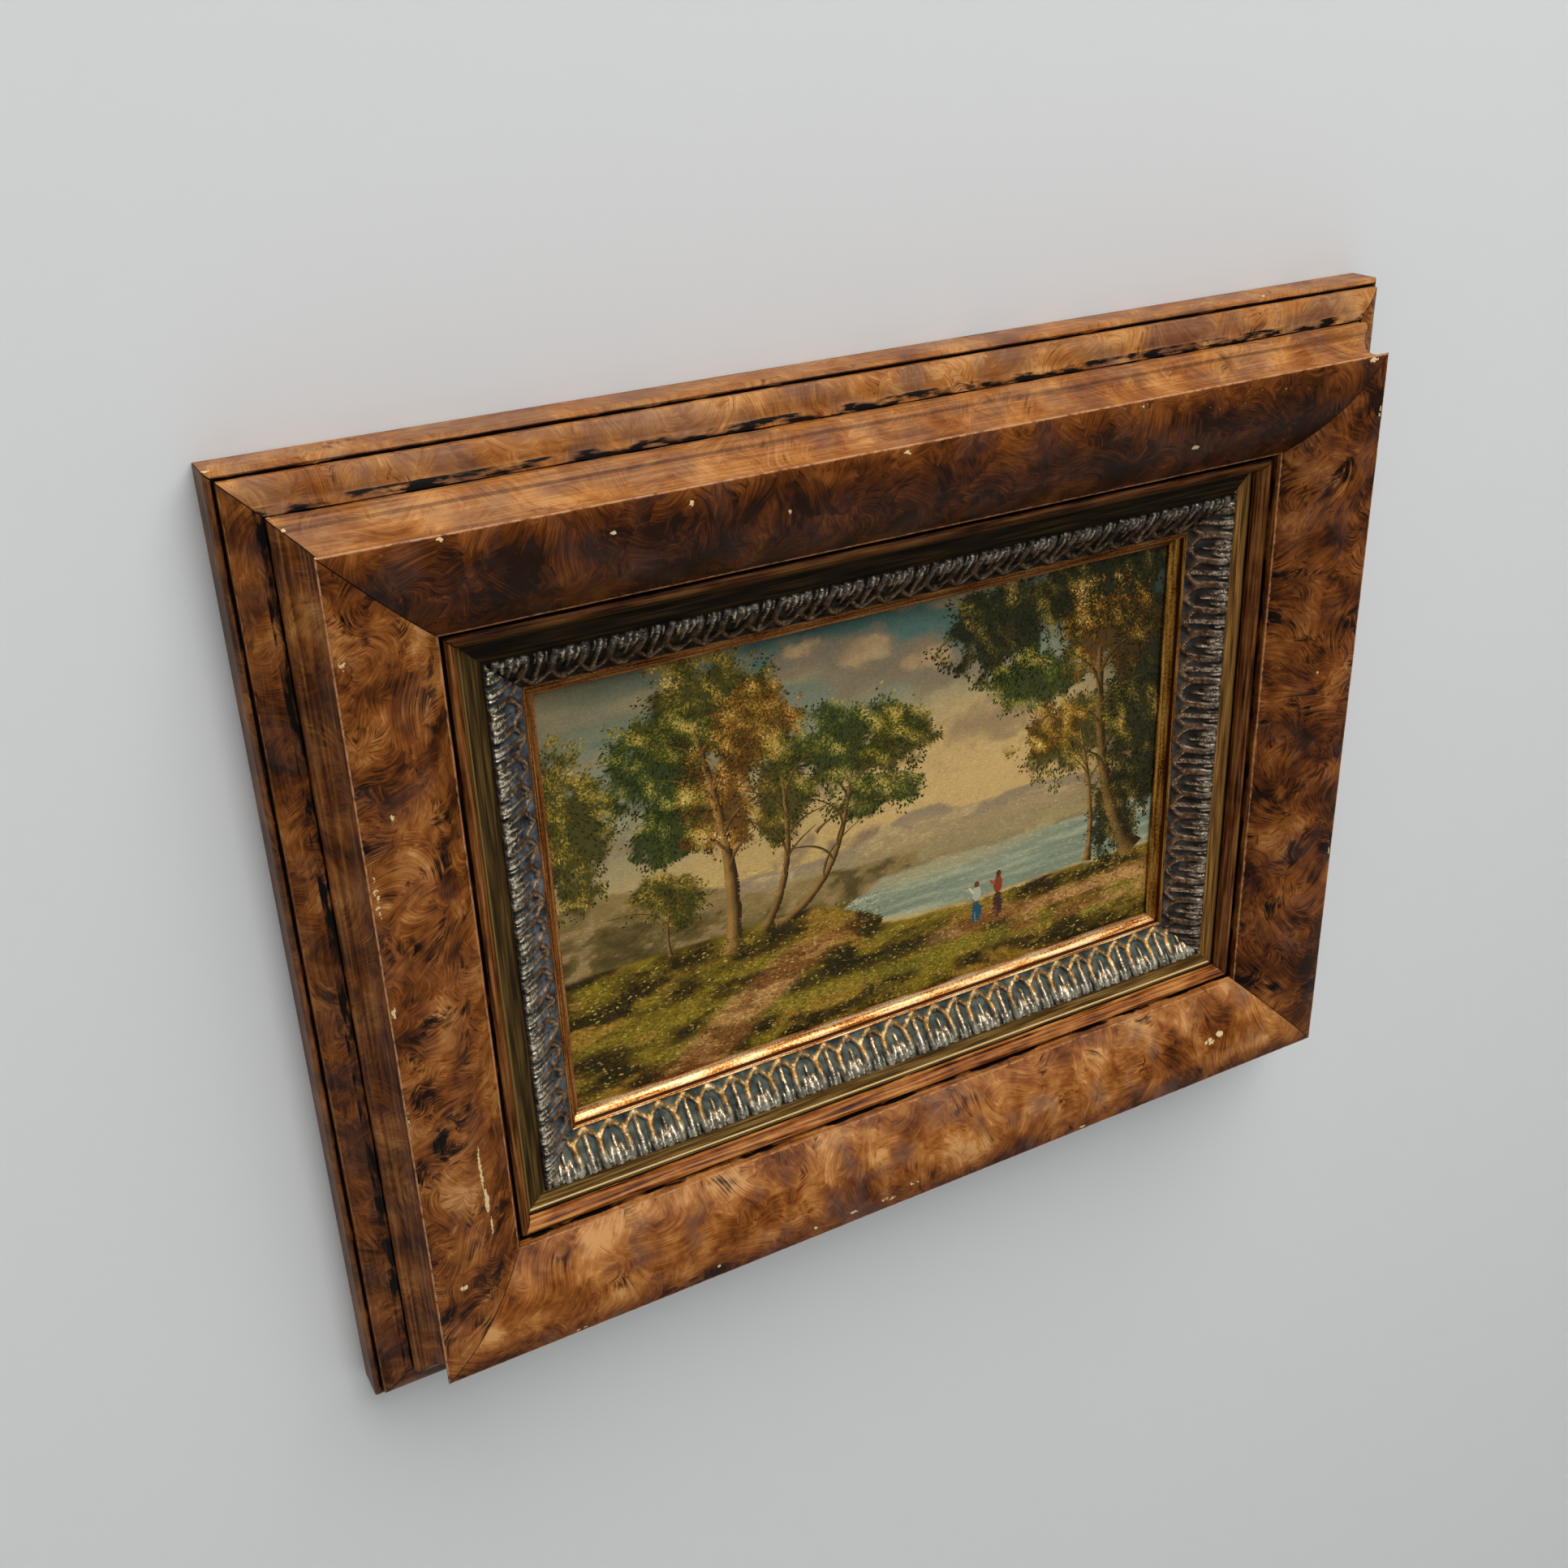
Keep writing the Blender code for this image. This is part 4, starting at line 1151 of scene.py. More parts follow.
def paint_land(x, y, colour):
    """Hills, a far bank, the lake, and the near ground with a path, over the sky."""
    rough = soft_noise(x, y, 0.05, 31)
    far = 0.555 - 0.055 * np.exp(-((x - 0.57) / 0.07) ** 2)
    far = far - 0.035 * np.exp(-((x - 0.76) / 0.10) ** 2) - 0.02 * (rough - 0.5)
    hills = rise(y, far, far + 0.006) * rise(y, 0.72, 0.68)
    shade = blend_in("#887c6b", "#9b8c6c", rise(y, far, far + 0.07))
    shade = blend_in(shade, "#6f6a4c", 0.8 * rise(y + 0.05 * rough, 0.62, 0.70))
    shade = blend_in(shade, "#b3a378", 0.7 * rise(soft_noise(x, y * 2.2, 0.05, 35, 5), 0.52, 0.68))
    colour = colour + (shade - colour) * hills[..., None]
    colour = blend_in(
        colour, "#8f8462", 0.8 * rise(y, 0.575, 0.60) * rise(y, 0.66, 0.63) * rise(x, 0.3, 0.45)
    )

    cliff = 0.50 + 0.10 * rise(x, 0.10, 0.34) - 0.03 * (soft_noise(x, 0 * x, 0.07, 37) - 0.5)
    crag = soft_noise(x * 1.4, y * 1.6, 0.045, 39, 6)
    bank = rise(y, cliff, cliff + 0.008)
    bank = bank * rise(x + 0.12 * (rough - 0.5) - 0.5 * (0.70 - y), 0.54, 0.50)
    tone = blend_in("#80714a", "#554b2a", rise(y + 0.08 * rough, cliff + 0.06, cliff + 0.15))
    tone = blend_in(tone, "#93805a", 0.8 * rise(crag, 0.52, 0.70))
    tone = blend_in(tone, "#3d361c", 0.8 * rise(crag, 0.46, 0.30))
    colour = colour + (tone - colour) * bank[..., None]

    shore = 0.795 - 0.045 * rise(x, 0.60, 0.42) + 0.01 * (rough - 0.5)
    water = rise(y + 0.012 * rough, 0.660, 0.668) * rise(y, shore, shore - 0.008)
    water = water * rise(x + 0.06 * (rough - 0.5) + 1.3 * (y - 0.62), 0.55, 0.56)
    ripple = soft_noise(x * 0.25, y * 3.0, 0.035, 43, 4)
    lake = blend_in("#768a7f", "#aab4a0", 0.7 * rise(ripple, 0.45, 0.75))
    lake = blend_in(lake, "#62756b", 0.5 * rise(ripple, 0.42, 0.25))
    lake = blend_in(lake, "#b3a67c", 0.5 * blob(x, y, 0.60, 0.67, 0.25, 0.03))
    colour = colour + (lake - colour) * water[..., None]

    near = np.where(x < 0.5, 0.675 + 0.12 * rise(x, 0.36, 0.60), shore)
    near = near + 0.012 * (rough - 0.5)
    ground = rise(y, near, near + 0.008)
    patch = soft_noise(x, y * 1.6, 0.06, 53, 5)
    warm = soft_noise(x, y * 2.0, 0.11, 57, 4)
    grass = blend_in("#45390f", "#6d6119", rise(patch, 0.46, 0.66))
    grass = blend_in(grass, "#8a6a26", 0.8 * rise(warm, 0.52, 0.68))
    grass = blend_in(grass, "#1b180a", 0.9 * rise(patch, 0.49, 0.35))
    grass = blend_in(
        grass, "#716c1f",
        0.6 * rise(np.abs(y - 0.93 + 0.03 * rough), 0.035, 0.01) * rise(x, 0.15, 0.3)
    )
    grass = blend_in(
        grass, "#1b180b",
        0.8 * rise(np.abs(y - 0.87), 0.03, 0.008) * rise(x, 0.24, 0.34) * rise(x, 0.72, 0.6)
    )
    grass = blend_in(grass, "#1b180b", 0.7 * rise(y, 0.95, 1.0) * rise(patch, 0.6, 0.4))
    track = 0.30 + 0.42 * (0.84 - y) * rise(y, 0.98, 0.7) - 0.85 * (y - 0.86)
    path = rise(np.abs(x - track), 0.075, 0.03) * rise(y, 0.74, 0.78)
    path = np.maximum(
        path, rise(np.abs(y - 0.865 - 0.02 * (rough - 0.5)), 0.03, 0.01) * rise(x, 0.56, 0.66)
    )
    path = np.maximum(
        path, rise(np.abs(y - 0.915), 0.03, 0.008) * rise(x, 0.66, 0.74) * rise(rough, 0.3, 0.6)
    )
    earth = blend_in("#6e4622", "#a98050", rise(patch, 0.46, 0.66))
    grass = grass + (earth - grass) * (path * 0.85)[..., None]
    return colour + (grass - colour) * ground[..., None]


# middle across and down, half width, half height, and five tones from dark to light
GOLDEN = ("#281b0a", "#4e3410", "#7e561a", "#b07e30", "#e8cd8c")
OLIVE = ("#1a1b0a", "#33340f", "#595319", "#8a7829", "#c9ad5a")
GREEN = ("#10190a", "#222f10", "#3f4d18", "#6e722c", "#b4a858")
DEEP = ("#0c0f06", "#191c0b", "#302f10", "#5a501e", "#9e8642")
CROWNS = [
    (0.01, 0.33, 0.085, 0.20, OLIVE), (0.165, 0.55, 0.055, 0.075, OLIVE),
    (0.15, 0.24, 0.080, 0.13, GREEN), (0.235, 0.13, 0.105, 0.14, OLIVE),
    (0.31, 0.19, 0.065, 0.10, GOLDEN),
    (0.17, 0.39, 0.070, 0.08, GREEN), (0.25, 0.35, 0.070, 0.14, GOLDEN),
    (0.34, 0.37, 0.055, 0.12, OLIVE),
    (0.45, 0.30, 0.110, 0.11, GREEN), (0.52, 0.33, 0.075, 0.09, OLIVE),
    (0.50, 0.43, 0.085, 0.065, GREEN),
    (0.72, 0.11, 0.115, 0.13, DEEP), (0.775, 0.25, 0.090, 0.09, GREEN),
    (0.88, 0.08, 0.140, 0.13, DEEP),
    (0.97, 0.36, 0.070, 0.34, DEEP), (0.90, 0.18, 0.100, 0.12, GOLDEN),
    (0.845, 0.43, 0.105, 0.12, OLIVE),
    (0.80, 0.40, 0.060, 0.07, GOLDEN), (0.93, 0.68, 0.055, 0.14, DEEP),
]


def leafiness(x, y, crown):
    """Over 0 inside a crown, with a ragged rim and gaps."""
    cx, cy, wide, tall, tones = crown
    body = 1.0 - ((x - cx) / wide) ** 2 - ((y - cy) / tall) ** 2
    return body + 2.0 * (soft_noise(x, y * 0.63, 0.03, 71, 5) - 0.5)


def underpainting(x, y):
    """The thin first layer of the whole picture, as linear colours."""
    colour = paint_land(x, y, paint_sky(x, y))
    for crown in CROWNS:
        colour = blend_in(colour, rgb(crown[4][1]), 0.95 * rise(leafiness(x, y, crown), 0.15, 0.45))
    # Darker towards the right edge in the upper part, and a little darker along the top edge
    darker_edges = rise(x, 0.80, 1.0) * rise(y, 0.75, 0.5) + rise(y, 0.08, 0.0) * 0.3
    return blend_in(colour, "#20231a", 0.75 * darker_edges)


print("the lake, linear:", underpainting(np.array([0.66]), np.array([0.70])).round(3))

# %% [markdown]
# ## Brushwork
# On the thin layer come strokes of thicker paint. Each is a low mound, as long and wide
# as the mark of a small brush. A plan of strokes is only points, each with its size,
# turn and colour, and a tree sets a mound on every point. Paint stands 0.02 to 0.12 mm
# proud, as it does on a real board.

# %% The tree that lays strokes
tree, given = new_tree("lay_strokes", "GeometryNodeTree", {
    "Geometry": "Geometry", "Sides": "Int", "Finish": "Material",
}, {"Geometry": "Geometry"})
STROKE_TREE = tree
mound = add(
    tree, "GeometryNodeMeshCone",
    {"Vertices": given["Sides"], "Radius Top": 0.0, "Radius Bottom": 1.0, "Depth": 1.0},
    fill_type="NGON"
)
mound = add(tree, "GeometryNodeTransform", {"Geometry": mound, "Rotation": (math.pi / 2, 0.0, 0.0)})
mark = {
    label: add(tree, "GeometryNodeInputNamedAttribute FLOAT", label)
    for label in ("length", "width", "height", "turn")
}
scale = add(tree, "CombineXYZ", mark["length"], mark["height"], mark["width"])
turn = add(tree, "CombineXYZ", {"Y": mark["turn"]})
laid = add(
    tree, "GeometryNodeInstanceOnPoints",
    {"Points": given["Geometry"], "Instance": mound, "Rotation": turn, "Scale": scale}
)
laid = add(tree, "GeometryNodeRealizeInstances", laid)
laid = add(tree, "GeometryNodeSetMaterial", {"Geometry": laid, "Material": given["Finish"]})
add(tree, "NodeGroupOutput", {"Geometry": laid})
print(tree.name, "has", len(tree.nodes), "nodes")

# %% [markdown]
# ## Oil paint
# Oil paint is pigment in linseed oil under a thin varnish. That gives the eye a deep
# colour with a soft gloss. The colour comes from the piece's own paint attribute, with a
# fine brush grain, and old varnish warms it a little.

# %% Oil paint material
BOARD_FRONT = 3.6
BOARD_BACK = 0.6
BOARD_LAP = 6.2


def oil_paint(name, grain):
    """Varnished oil paint that takes its colour from the piece's paint attribute."""
    finish, tree, shader = new_finish(name)
    colour = add(tree, "Attribute", attribute_name="paint")
    place = add(tree, "TexCoord", out="Object")
    place = add(tree, "VectorMath SCALE", place, 1.0 / MM)
    stretched = add(tree, "VectorMath MULTIPLY", place, grain)
    brush = add(tree, "TexNoise", stretched, 1.0, 4.0, 0.6)
    value = add(tree, "MapRange", brush, 0.3, 0.7, 0.82, 1.18)
    colour = add(tree, "HueSaturation", {"Color": colour, "Value": value})
    tree.links.new(colour, shader.inputs["Base Color"])
    rough = add(tree, "MapRange", brush, 0.0, 1.0, 0.52, 0.38)
    tree.links.new(rough, shader.inputs["Roughness"])
    shader.inputs["IOR"].default_value = 1.48
    shader.inputs["Specular IOR Level"].default_value = 0.08
    bump = add(tree, "Bump", {"Height": brush, "Strength": 0.6, "Distance": 0.05 * MM})
    tree.links.new(bump, shader.inputs["Normal"])
    return finish


thin_paint = oil_paint("oil_paint_thin", (1.6, 1.6, 3.2))
thick_paint = oil_paint("oil_paint_thick", (4.0, 4.0, 4.0))
print("paint finishes:", thin_paint.name, "and", thick_paint.name)

# %% The board with its thin first layer
BOARD_STEP = 0.6
# Old varnish is yellow, so it takes away blue, and its veil lifts the darks a little
VARNISH = np.array((1.12, 0.97, 0.74))
VARNISH_VEIL = 0.87


def on_board(x, y):
    """Millimetres right of the middle and above the hanging point, from shares of the picture."""
    return (x - 0.5) * SIGHT_WIDTH, CENTRE_HEIGHT + (0.5 - y) * SIGHT_HEIGHT


def paint_attribute(mesh, colours):
    """Stores a linear colour for every point of a mesh, as it looks under old varnish."""
    colours = np.clip(colours, 0.0, 1.0) ** VARNISH_VEIL * VARNISH
    alpha = np.ones((len(colours), 1))
    layer = mesh.attributes.new("paint", "FLOAT_COLOR", "POINT")
    layer.data.foreach_set("color", np.hstack([colours, alpha]).ravel())


def painted_board():
    """A closed board: a fine grid in front that holds the paint's colours, and a plain back."""
    width, height = SIGHT_WIDTH + 2 * BOARD_LAP, SIGHT_HEIGHT + 2 * BOARD_LAP
    bm = bmesh.new()
    counts = int(width / BOARD_STEP), int(height / BOARD_STEP)
    bmesh.ops.create_grid(bm, x_segments=counts[0], y_segments=counts[1], size=0.5)
    for vertex in bm.verts:
        vertex.co = Vector(
            (vertex.co.x * width, -BOARD_FRONT, CENTRE_HEIGHT + vertex.co.y * height)
        ) * MM
    rim = [edge for edge in bm.edges if edge.is_boundary]
    made = bmesh.ops.extrude_edge_only(bm, edges=rim)["geom"]
    for vertex in made:
        if isinstance(vertex, bmesh.types.BMVert):
            vertex.co.y = -BOARD_BACK * MM
    bmesh.ops.contextual_create(bm, geom=[edge for edge in bm.edges if edge.is_boundary])
    mesh = bpy.data.meshes.new("board")
    bm.to_mesh(mesh)
    bm.free()
    places = np.empty(3 * len(mesh.vertices))
    mesh.vertices.foreach_get("co", places)
    places = places.reshape(-1, 3) / MM
    x = places[:, 0] / SIGHT_WIDTH + 0.5
    y = 0.5 - (places[:, 2] - CENTRE_HEIGHT) / SIGHT_HEIGHT
    paint_attribute(mesh, underpainting(x, y))
    mesh.materials.append(thin_paint)
    return mesh


board = painted_board()
point_outwards(board)
finish_back(board, bare_wood("board_back", "#8f7a5c", "#6e5b42", (300.0, 300.0, 300.0)), 3.5)
finished_piece("picture_board", board, "painting", "painted_board")

# %% [markdown]
# ## Trunks and branches
# A trunk is one long pull of the brush, light on the side of the glow and dark on the
# other. So each is a thin ribbon of paint that follows a bent line and tapers.

# %% Ribbons of paint
PAINT_FOOT = BOARD_FRONT - 0.005


def bent_line(start, end, bend, count):
    """Points from start to end with a sideways bend, in shares of the picture."""
    start, end = np.array(start), np.array(end)
    run = (end - start) * (SIGHT_WIDTH, SIGHT_HEIGHT)
    side = np.array((-run[1], run[0])) / (SIGHT_WIDTH, SIGHT_HEIGHT)
    t = np.linspace(0.0, 1.0, count)[:, None]
    return start + (end - start) * t + side * bend * np.sin(np.pi * t ** 0.8)


def ribbon(line, widths, light, dark, rng, parts):
    """Adds one ribbon of paint: a low roof section along a line, closed at both ends."""
    x, z = on_board(line[:, 0], line[:, 1])
    place = np.stack([x, z], -1)
    run = np.gradient(place, axis=0)
    side = np.stack([-run[:, 1], run[:, 0]], -1) / np.hypot(*run.T)[:, None]
    side = side * np.where(side[:, :1].mean() < 0, 1.0, -1.0)
    half = widths[:, None] / 2 * (1 + 0.25 * (rng.random((len(line), 1)) - 0.5))
    top = 0.030 + 0.0004 * len(parts)
    rows = [(1.0, 0.0), (0.45, top), (-0.45, top), (-1.0, 0.0)]
    first = sum(len(p[0]) for p in parts)
    spots, tints = [], []
    for step in range(len(line)):
        fleck = 0.75 + 0.5 * rng.random()
        for across, height in rows:
            px, pz = place[step] + side[step] * half[step] * across
            spots.append((px * MM, -(PAINT_FOOT + height) * MM, pz * MM))
            tints.append((light if across > 0 else dark) * fleck)
    faces = []
    for step in range(len(line) - 1):
        low = first + 4 * step
        faces += [
            (low + a, low + (a + 1) % 4, low + 4 + (a + 1) % 4, low + 4 + a)
            for a in range(4)
        ]
    last = first + 4 * (len(line) - 1)
    faces += [(first + 3, first + 2, first + 1, first), (last, last + 1, last + 2, last + 3)]
    parts.append((spots, faces, tints))


def grow_tree(base, top, width, bend, forks, light, dark, rng, parts):
    """A trunk with forked branches near its top."""
    line = bent_line(base, top, bend, 26)
    share = np.linspace(0.0, 1.0, len(line))
    widths = width * (1.0 - 0.64 * share) + width * 0.7 * np.clip(1.0 - share / 0.08, 0.0, 1.0)
    ribbon(line, widths, light, dark, rng, parts)
    for number in range(forks):
        start = line[int(len(line) * (0.38 + 0.55 * number / forks))]
        way = -1.0 if number % 2 else 1.0
        reach = np.array((way * (0.04 + 0.05 * rng.random()), -(0.05 + 0.10 * rng.random())))
        twig = bent_line(start, start + reach, way * -0.15, 12)
        ribbon(twig, np.linspace(width * 0.32, 0.18, 12), light * 0.5, dark, rng, parts)


rng = np.random.default_rng(7)
parts = []
BARK, BARK_SHADE = rgb("#94723e"), rgb("#2c2110")
grow_tree((0.255, 0.735), (0.215, 0.16), 4.0, 0.05, 7, BARK, BARK_SHADE, rng, parts)
grow_tree((0.305, 0.70), (0.345, 0.33), 2.3, 0.10, 5, BARK * 0.8, BARK_SHADE, rng, parts)
grow_tree((0.325, 0.70), (0.455, 0.36), 2.3, 0.16, 6, BARK * 0.8, BARK_SHADE, rng, parts)
grow_tree((0.395, 0.49), (0.53, 0.46), 0.7, -0.12, 4, BARK * 0.7, BARK_SHADE, rng, parts)
grow_tree((0.160, 0.69), (0.165, 0.55), 0.9, -0.05, 3, BARK * 0.7, BARK_SHADE, rng, parts)
grow_tree((0.965, 0.80), (0.885, 0.22), 4.4, -0.07, 7, BARK * 0.6, BARK_SHADE * 0.7, rng, parts)
grow_tree((0.877, 0.79), (0.855, 0.42), 1.9, 0.05, 6, BARK * 0.9, BARK_SHADE, rng, parts)
spots = [spot for part in parts for spot in part[0]]
faces = [face for part in parts for face in part[1]]
trunks = bpy.data.meshes.new("trunks")
trunks.from_pydata(spots, [], faces)
paint_attribute(trunks, np.array([tint for part in parts for tint in part[2]]))
trunks.materials.append(thick_paint)
point_outwards(trunks)
finished_piece("painted_trunks", trunks, "painting")

# %% [markdown]
# ## Leaves, grass and water
# A crown is first a dark mass. Over it go thousands of dabs, lighter where a clump faces
# the glow at its upper right, and then small touches of pale gold on the brightest clumps.
# Grass and water are the same strokes, laid flat and long.

# %% Plans of strokes


class Plan:
    """A list of strokes, each with its place, size, turn, thickness and colour."""

    def __init__(self):
        self.rows = []

    def lay(self, x, y, length, width, turn, height, colour):
        inside = (x > -0.012) & (x < 1.012) & (y > -0.02) & (y < 1.02)
        self.rows.append(np.column_stack([x, y, length, width, turn, height, colour])[inside])

    def mesh(self, name):
        rows = np.concatenate(self.rows)
        across, up = on_board(rows[:, 0], rows[:, 1])
        mesh = bpy.data.meshes.new(name)
        places = np.column_stack([across * MM, np.full(len(rows), -PAINT_FOOT * MM), up * MM])
        mesh.from_pydata(places.tolist(), [], [])
        for column, label in ((2, "length"), (3, "width"), (4, "turn"), (5, "height")):
            values = rows[:, column] * (1.0 if label == "turn" else MM)
            mesh.attributes.new(label, "FLOAT", "POINT").data.foreach_set("value", values)
        paint_attribute(mesh, rows[:, 6:9])
        return mesh


def palette(tones, share):
    """A colour between the tones of a row, for each share from 0 to 1."""
    stops = np.linspace(0.0, 1.0, len(tones))
    return np.stack(
        [np.interp(share, stops, [rgb(tone)[k] for tone in tones]) for k in range(3)], -1
    )


def dab_crown(plan, rng, crown, per_area, size, floor, lift):
    """Dabs all over a crown; the clumps catch the light on their upper right."""
    cx, cy, wide, tall, tones = crown
    count = int(per_area * wide * tall * SIGHT_WIDTH * SIGHT_HEIGHT)
    x = cx + 1.35 * wide * (2.0 * rng.random(count) - 1.0)
    y = cy + 1.35 * tall * (2.0 * rng.random(count) - 1.0)
    lump = soft_noise(x, y * 0.63, 0.035, 83, 2)
    ahead = soft_noise(x + 0.008, (y - 0.014) * 0.63, 0.035, 83, 2)
    light = 0.36 + lift + 1.9 * (lump - ahead) - 0.16 * (y - cy) / tall
    light = light + 0.50 * (rng.random(count) - 0.5)
    light = light - 0.22 * rise(x, 0.80, 0.94) * rise(y, 0.44, 0.32)
    kept = (leafiness(x, y, crown) + 0.55 * rng.random(count) > 0.30) & (light > floor)
    x, y, light = x[kept], y[kept], light[kept]
    length = size * (0.6 + 0.8 * rng.random(len(x)))
    width = length * (0.35 + 0.25 * rng.random(len(x)))
    turn = np.arctan2((y - cy) / tall + 0.5, (x - cx) / wide) + rng.normal(0.0, 0.45, len(x))
    height = 0.05 + 0.05 * rng.random(len(x))
    plan.lay(x, y, length, width, turn, height, palette(tones, np.clip(light, 0.0, 1.0)))


rng = np.random.default_rng(20)
leaves, lights = Plan(), Plan()
for crown in CROWNS:
    dab_crown(leaves, rng, crown, 35.0, 0.42, 0.0, 0.0)
for crown in CROWNS:
    dab_crown(lights, rng, crown, 36.0, 0.24, 0.66, 0.12)
for name, plan in (("leaves", leaves), ("lights", lights)):
    leaf_mesh = grow(
        name, plan.mesh(name + "_plan"), STROKE_TREE, {"Sides": 4, "Finish": thick_paint}
    )
    point_outwards(leaf_mesh)
    finished_piece("painted_" + name, leaf_mesh, "painting")

# %% Grass, earth, water and cloud strokes


def scatter(plan, rng, count, across, down, length, width, height, jitter, keep, shift=None):
    """Strokes over an area, coloured from the layer below and made lighter or darker."""
    x = across[0] + (across[1] - across[0]) * rng.random(count)
    y = down[0] + (down[1] - down[0]) * rng.random(count)
    chosen = keep(x, y)
    x, y = x[chosen], y[chosen]
    size = 0.6 + 0.8 * rng.random(len(x))
    tint = underpainting(x, y) * (1.0 + jitter * (rng.random((len(x), 1)) - 0.42))
    if shift is not None:
        tint = tint + (rgb(shift) - tint) * (rng.random((len(x), 1)) ** 20)
    width = width * (0.7 + 0.6 * rng.random(len(x)))
    turn = rng.normal(0.0, 0.25, len(x))
    plan.lay(x, y, length * size, width, turn, np.full(len(x), height), tint)


rng = np.random.default_rng(33)
marks = Plan()
scatter(
    marks, rng, 20000, (0.0, 1.0), (0.67, 1.0), 0.50, 0.24, 0.06, 1.5,
    lambda x, y: y > 0.69 + 0.11 * (x > 0.5), "#c0ac58"
)
scatter(
    marks, rng, 2600, (0.44, 0.90), (0.665, 0.79), 0.9, 0.10, 0.035, 0.4,
    lambda x, y: x > 0.47, "#c3c4a8"
)
scatter(
    marks, rng, 4200, (0.0, 0.9), (0.50, 0.72), 0.7, 0.16, 0.03, 0.7,
    lambda x, y: (y > 0.54) & ((x < 0.5) | (y < 0.67))
)
scatter(marks, rng, 3600, (0.0, 0.9), (0.0, 0.50), 0.9, 0.22, 0.02, 0.20, lambda x, y: y > 0.0)
mark_mesh = grow("marks", marks.mesh("mark_plan"), STROKE_TREE, {"Sides": 4, "Finish": thick_paint})
point_outwards(mark_mesh)
finished_piece("painted_strokes", mark_mesh, "painting")

# %% [markdown]
# ## Two figures
# Two strollers give the scene its scale. At 10 mm high they are a few touches each: a
# skirt or coat, a bodice, a dab for the head. They are nobody in particular.

# %% Two figures by the water
# across, down, length, width, turn and colour of each touch
FIGURE_TOUCHES = [
    (0.670, 0.834, 3.1, 1.60, 1.57, "#1c465f"), (0.667, 0.840, 2.4, 0.60, 1.50, "#3f7391"),
    (0.670, 0.784, 2.1, 1.20, 1.57, "#a3b2a8"), (0.670, 0.758, 0.95, 0.72, 1.57, "#5a3820"),
    (0.661, 0.773, 1.4, 0.40, 0.9, "#c0c6b6"), (0.709, 0.831, 3.3, 1.50, 1.57, "#3a2325"),
    (0.706, 0.839, 2.4, 0.52, 1.62, "#5c3a3c"), (0.709, 0.775, 2.3, 1.30, 1.57, "#7c3420"),
    (0.710, 0.747, 0.95, 0.72, 1.57, "#4a2c1a"), (0.700, 0.767, 1.4, 0.40, 0.7, "#944629"),
]
figures = Plan()
for x, y, length, width, turn, colour in FIGURE_TOUCHES:
    touch = [np.array([value]) for value in (x, y, length, width, turn, 0.12)]
    figures.lay(*touch, rgb(colour)[None])
figure_mesh = grow(
    "figures", figures.mesh("figure_plan"), STROKE_TREE, {"Sides": 10, "Finish": thick_paint}
)
point_outwards(figure_mesh)
finished_piece("painted_figures", figure_mesh, "painting")

# %% [markdown]
# ## The wall and the floor
# The picture hangs on a plain pale wall over a plain pale floor. They are a stage, not
# part of the object. The wall has an opening just smaller than the frame, and it lets
# the eye through from behind, so that the picture's back can be looked at too.

# %% Stage
WALL_REACH = 2.0
WALL_GAP = 0.0004
FLOOR_HEIGHT = -0.75


def stage_plane(name, mesh_faces, colour, clear_behind):
    """A plain matt plane of the stage."""
    finish, tree, shader = new_finish(name)
    shader.inputs["Base Color"].default_value = linear(colour)
    shader.inputs["Roughness"].default_value = 0.9
    if clear_behind:
        behind = add(tree, "NewGeometry", out="Backfacing")
        nothing = add(tree, "BsdfTransparent")
        mixed = add(tree, "MixShader", {0: behind, 1: shader.outputs["BSDF"], 2: nothing})
        tree.links.new(mixed, tree.nodes["Material Output"].inputs["Surface"])
    mesh = bpy.data.meshes.new(name)
    mesh.from_pydata(*mesh_faces)
    mesh.materials.append(finish)
    plane = bpy.data.objects.new(name, mesh)
    bpy.context.scene.collection.objects.link(plane)
    return plane


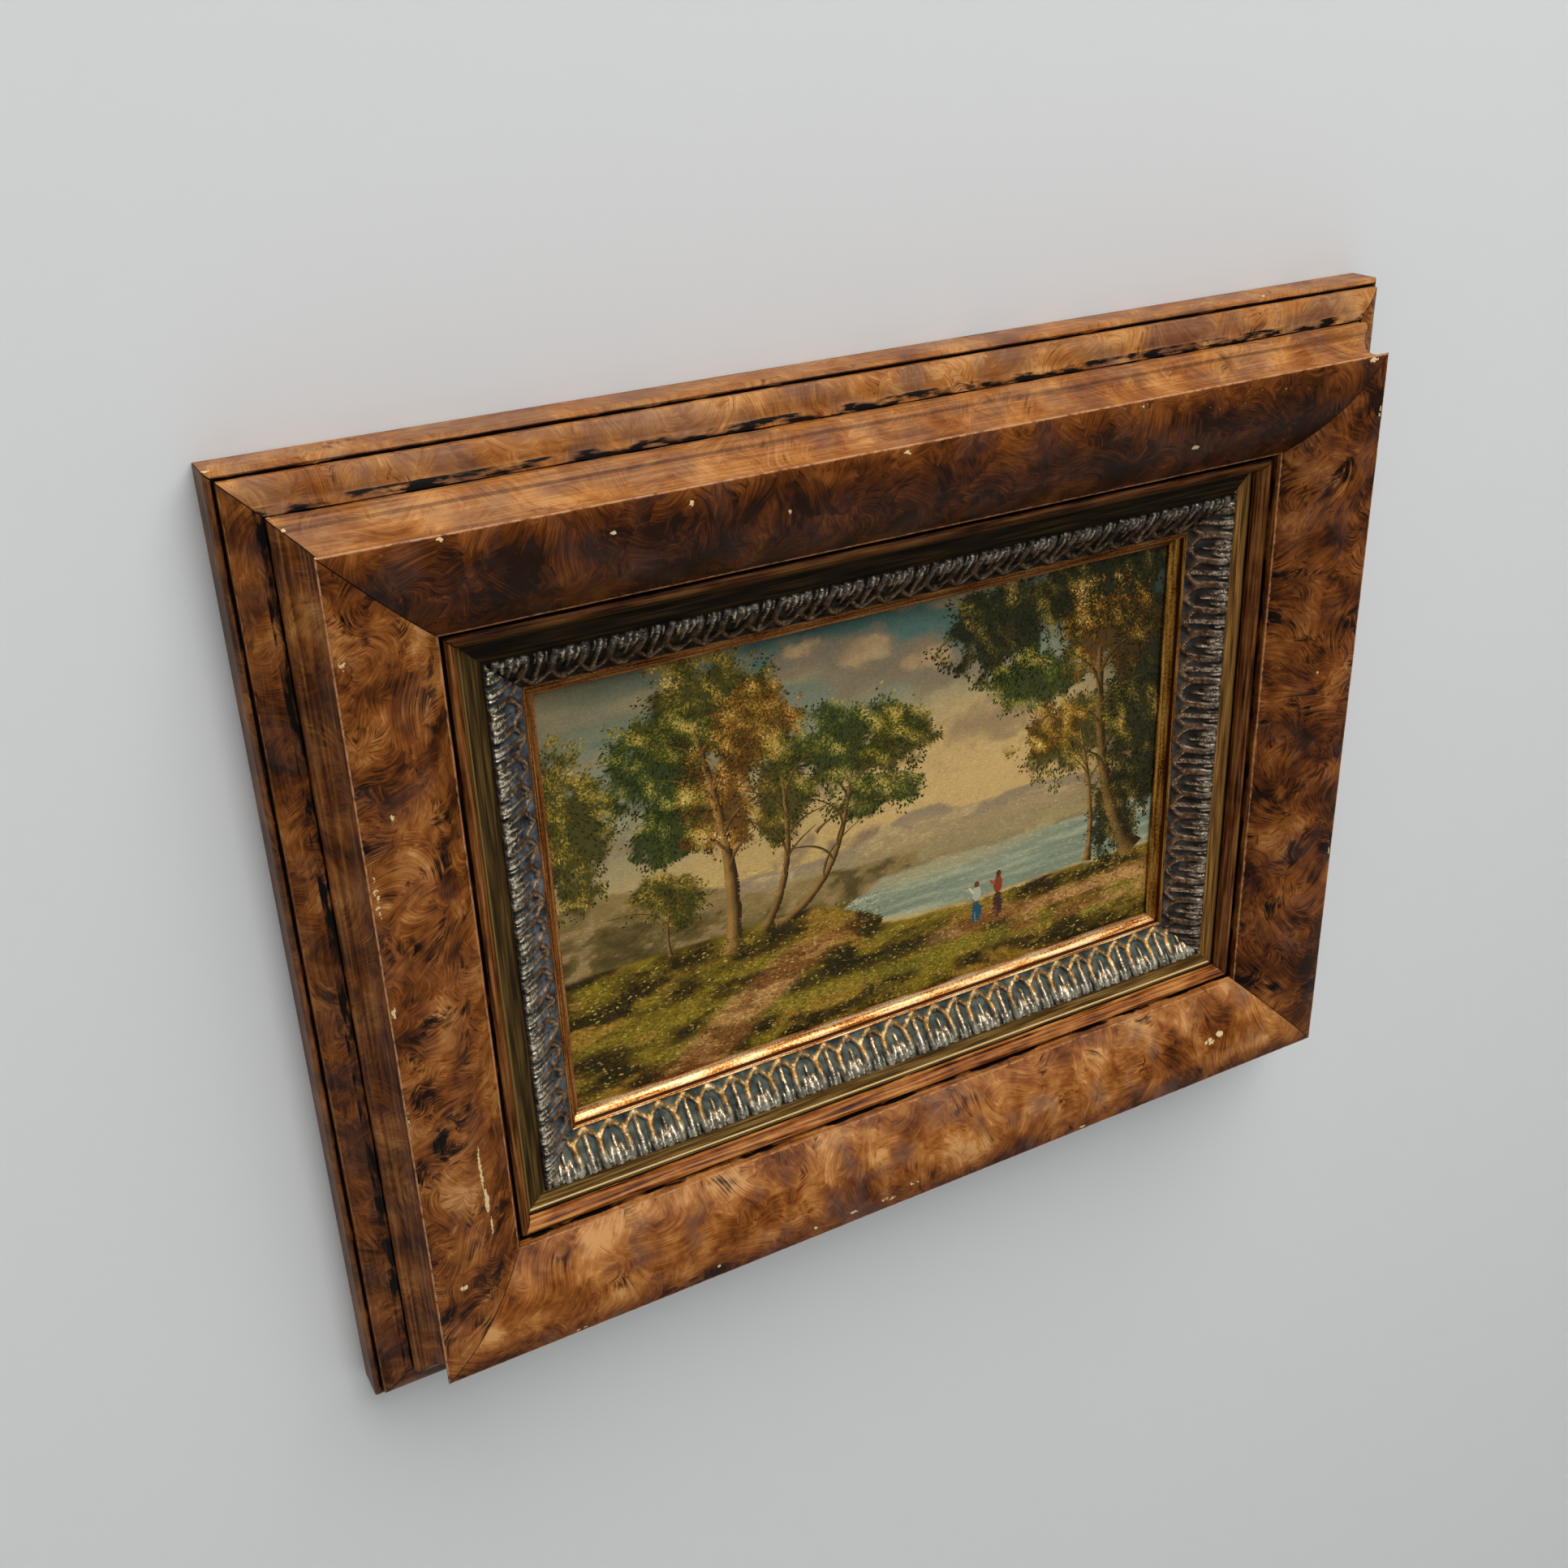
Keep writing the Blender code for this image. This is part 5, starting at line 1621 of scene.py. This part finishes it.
INSET = 3.0 * MM
hole_x, hole_z = OUTER_WIDTH / 2 * MM - INSET, OUTER_HEIGHT / 2 * MM - INSET
middle = CENTRE_HEIGHT * MM
wall_points = [
    (sx * reach_x, WALL_GAP, middle + sz * reach_z)
    for reach_x, reach_z in ((WALL_REACH, WALL_REACH), (hole_x, hole_z))
    for sx, sz in ((-1, -1), (1, -1), (1, 1), (-1, 1))
]
wall_faces = [(i, (i + 1) % 4, 4 + (i + 1) % 4, 4 + i) for i in range(4)]
stage_plane("pale_wall", (wall_points, [], wall_faces), "#e4e6e7", True)
floor_points = [
    (x, y, FLOOR_HEIGHT) for x, y in ((-2.0, -2.5), (2.0, -2.5), (2.0, 1.5), (-2.0, 1.5))
]
stage_plane("pale_floor", (floor_points, [], [(0, 1, 2, 3)]), "#dcdcda", False)
print("the wall stands", WALL_GAP / MM, "mm behind the picture's back")

# %% [markdown]
# ## Light
# The photo was taken in soft daylight from above and a little in front: the top outer
# sides are the brightest, and the shadow on the wall is faint and falls below the frame.
# A large area lamp stands in for the window. A weak one and a pale world stand in for the
# room, and one behind the wall lights the back for the views from there.

# %% Lamps and world


def area_lamp(name, place, target, size, power, colour):
    """A square soft lamp that points at a target."""
    lamp = bpy.data.lights.new(name, "AREA")
    lamp.shape = "SQUARE"
    lamp.size = size
    lamp.energy = power
    lamp.color = linear(colour)[:3]
    stand = bpy.data.objects.new(name, lamp)
    stand.location = place
    stand.rotation_euler = (Vector(target) - Vector(place)).to_track_quat("-Z", "Y").to_euler()
    bpy.context.scene.collection.objects.link(stand)
    return stand


PICTURE_MIDDLE = (0.0, 0.0, middle)
area_lamp("window", (0.25, -0.80, 1.20), PICTURE_MIDDLE, 1.4, 26.0, "#fffefd")
area_lamp("room", (-1.1, -0.9, 0.1), PICTURE_MIDDLE, 1.0, 0.8, "#f4f7ff")
area_lamp("behind", (0.4, 1.2, 0.7), PICTURE_MIDDLE, 1.0, 6.0, "#ffffff")
world = bpy.data.worlds.new("pale_room")
world.use_nodes = True
world.node_tree.nodes["Background"].inputs["Color"].default_value = linear("#eef0f2")
world.node_tree.nodes["Background"].inputs["Strength"].default_value = 0.17
bpy.context.scene.world = world
print("lamps:", [lamp.name for lamp in bpy.data.lights])
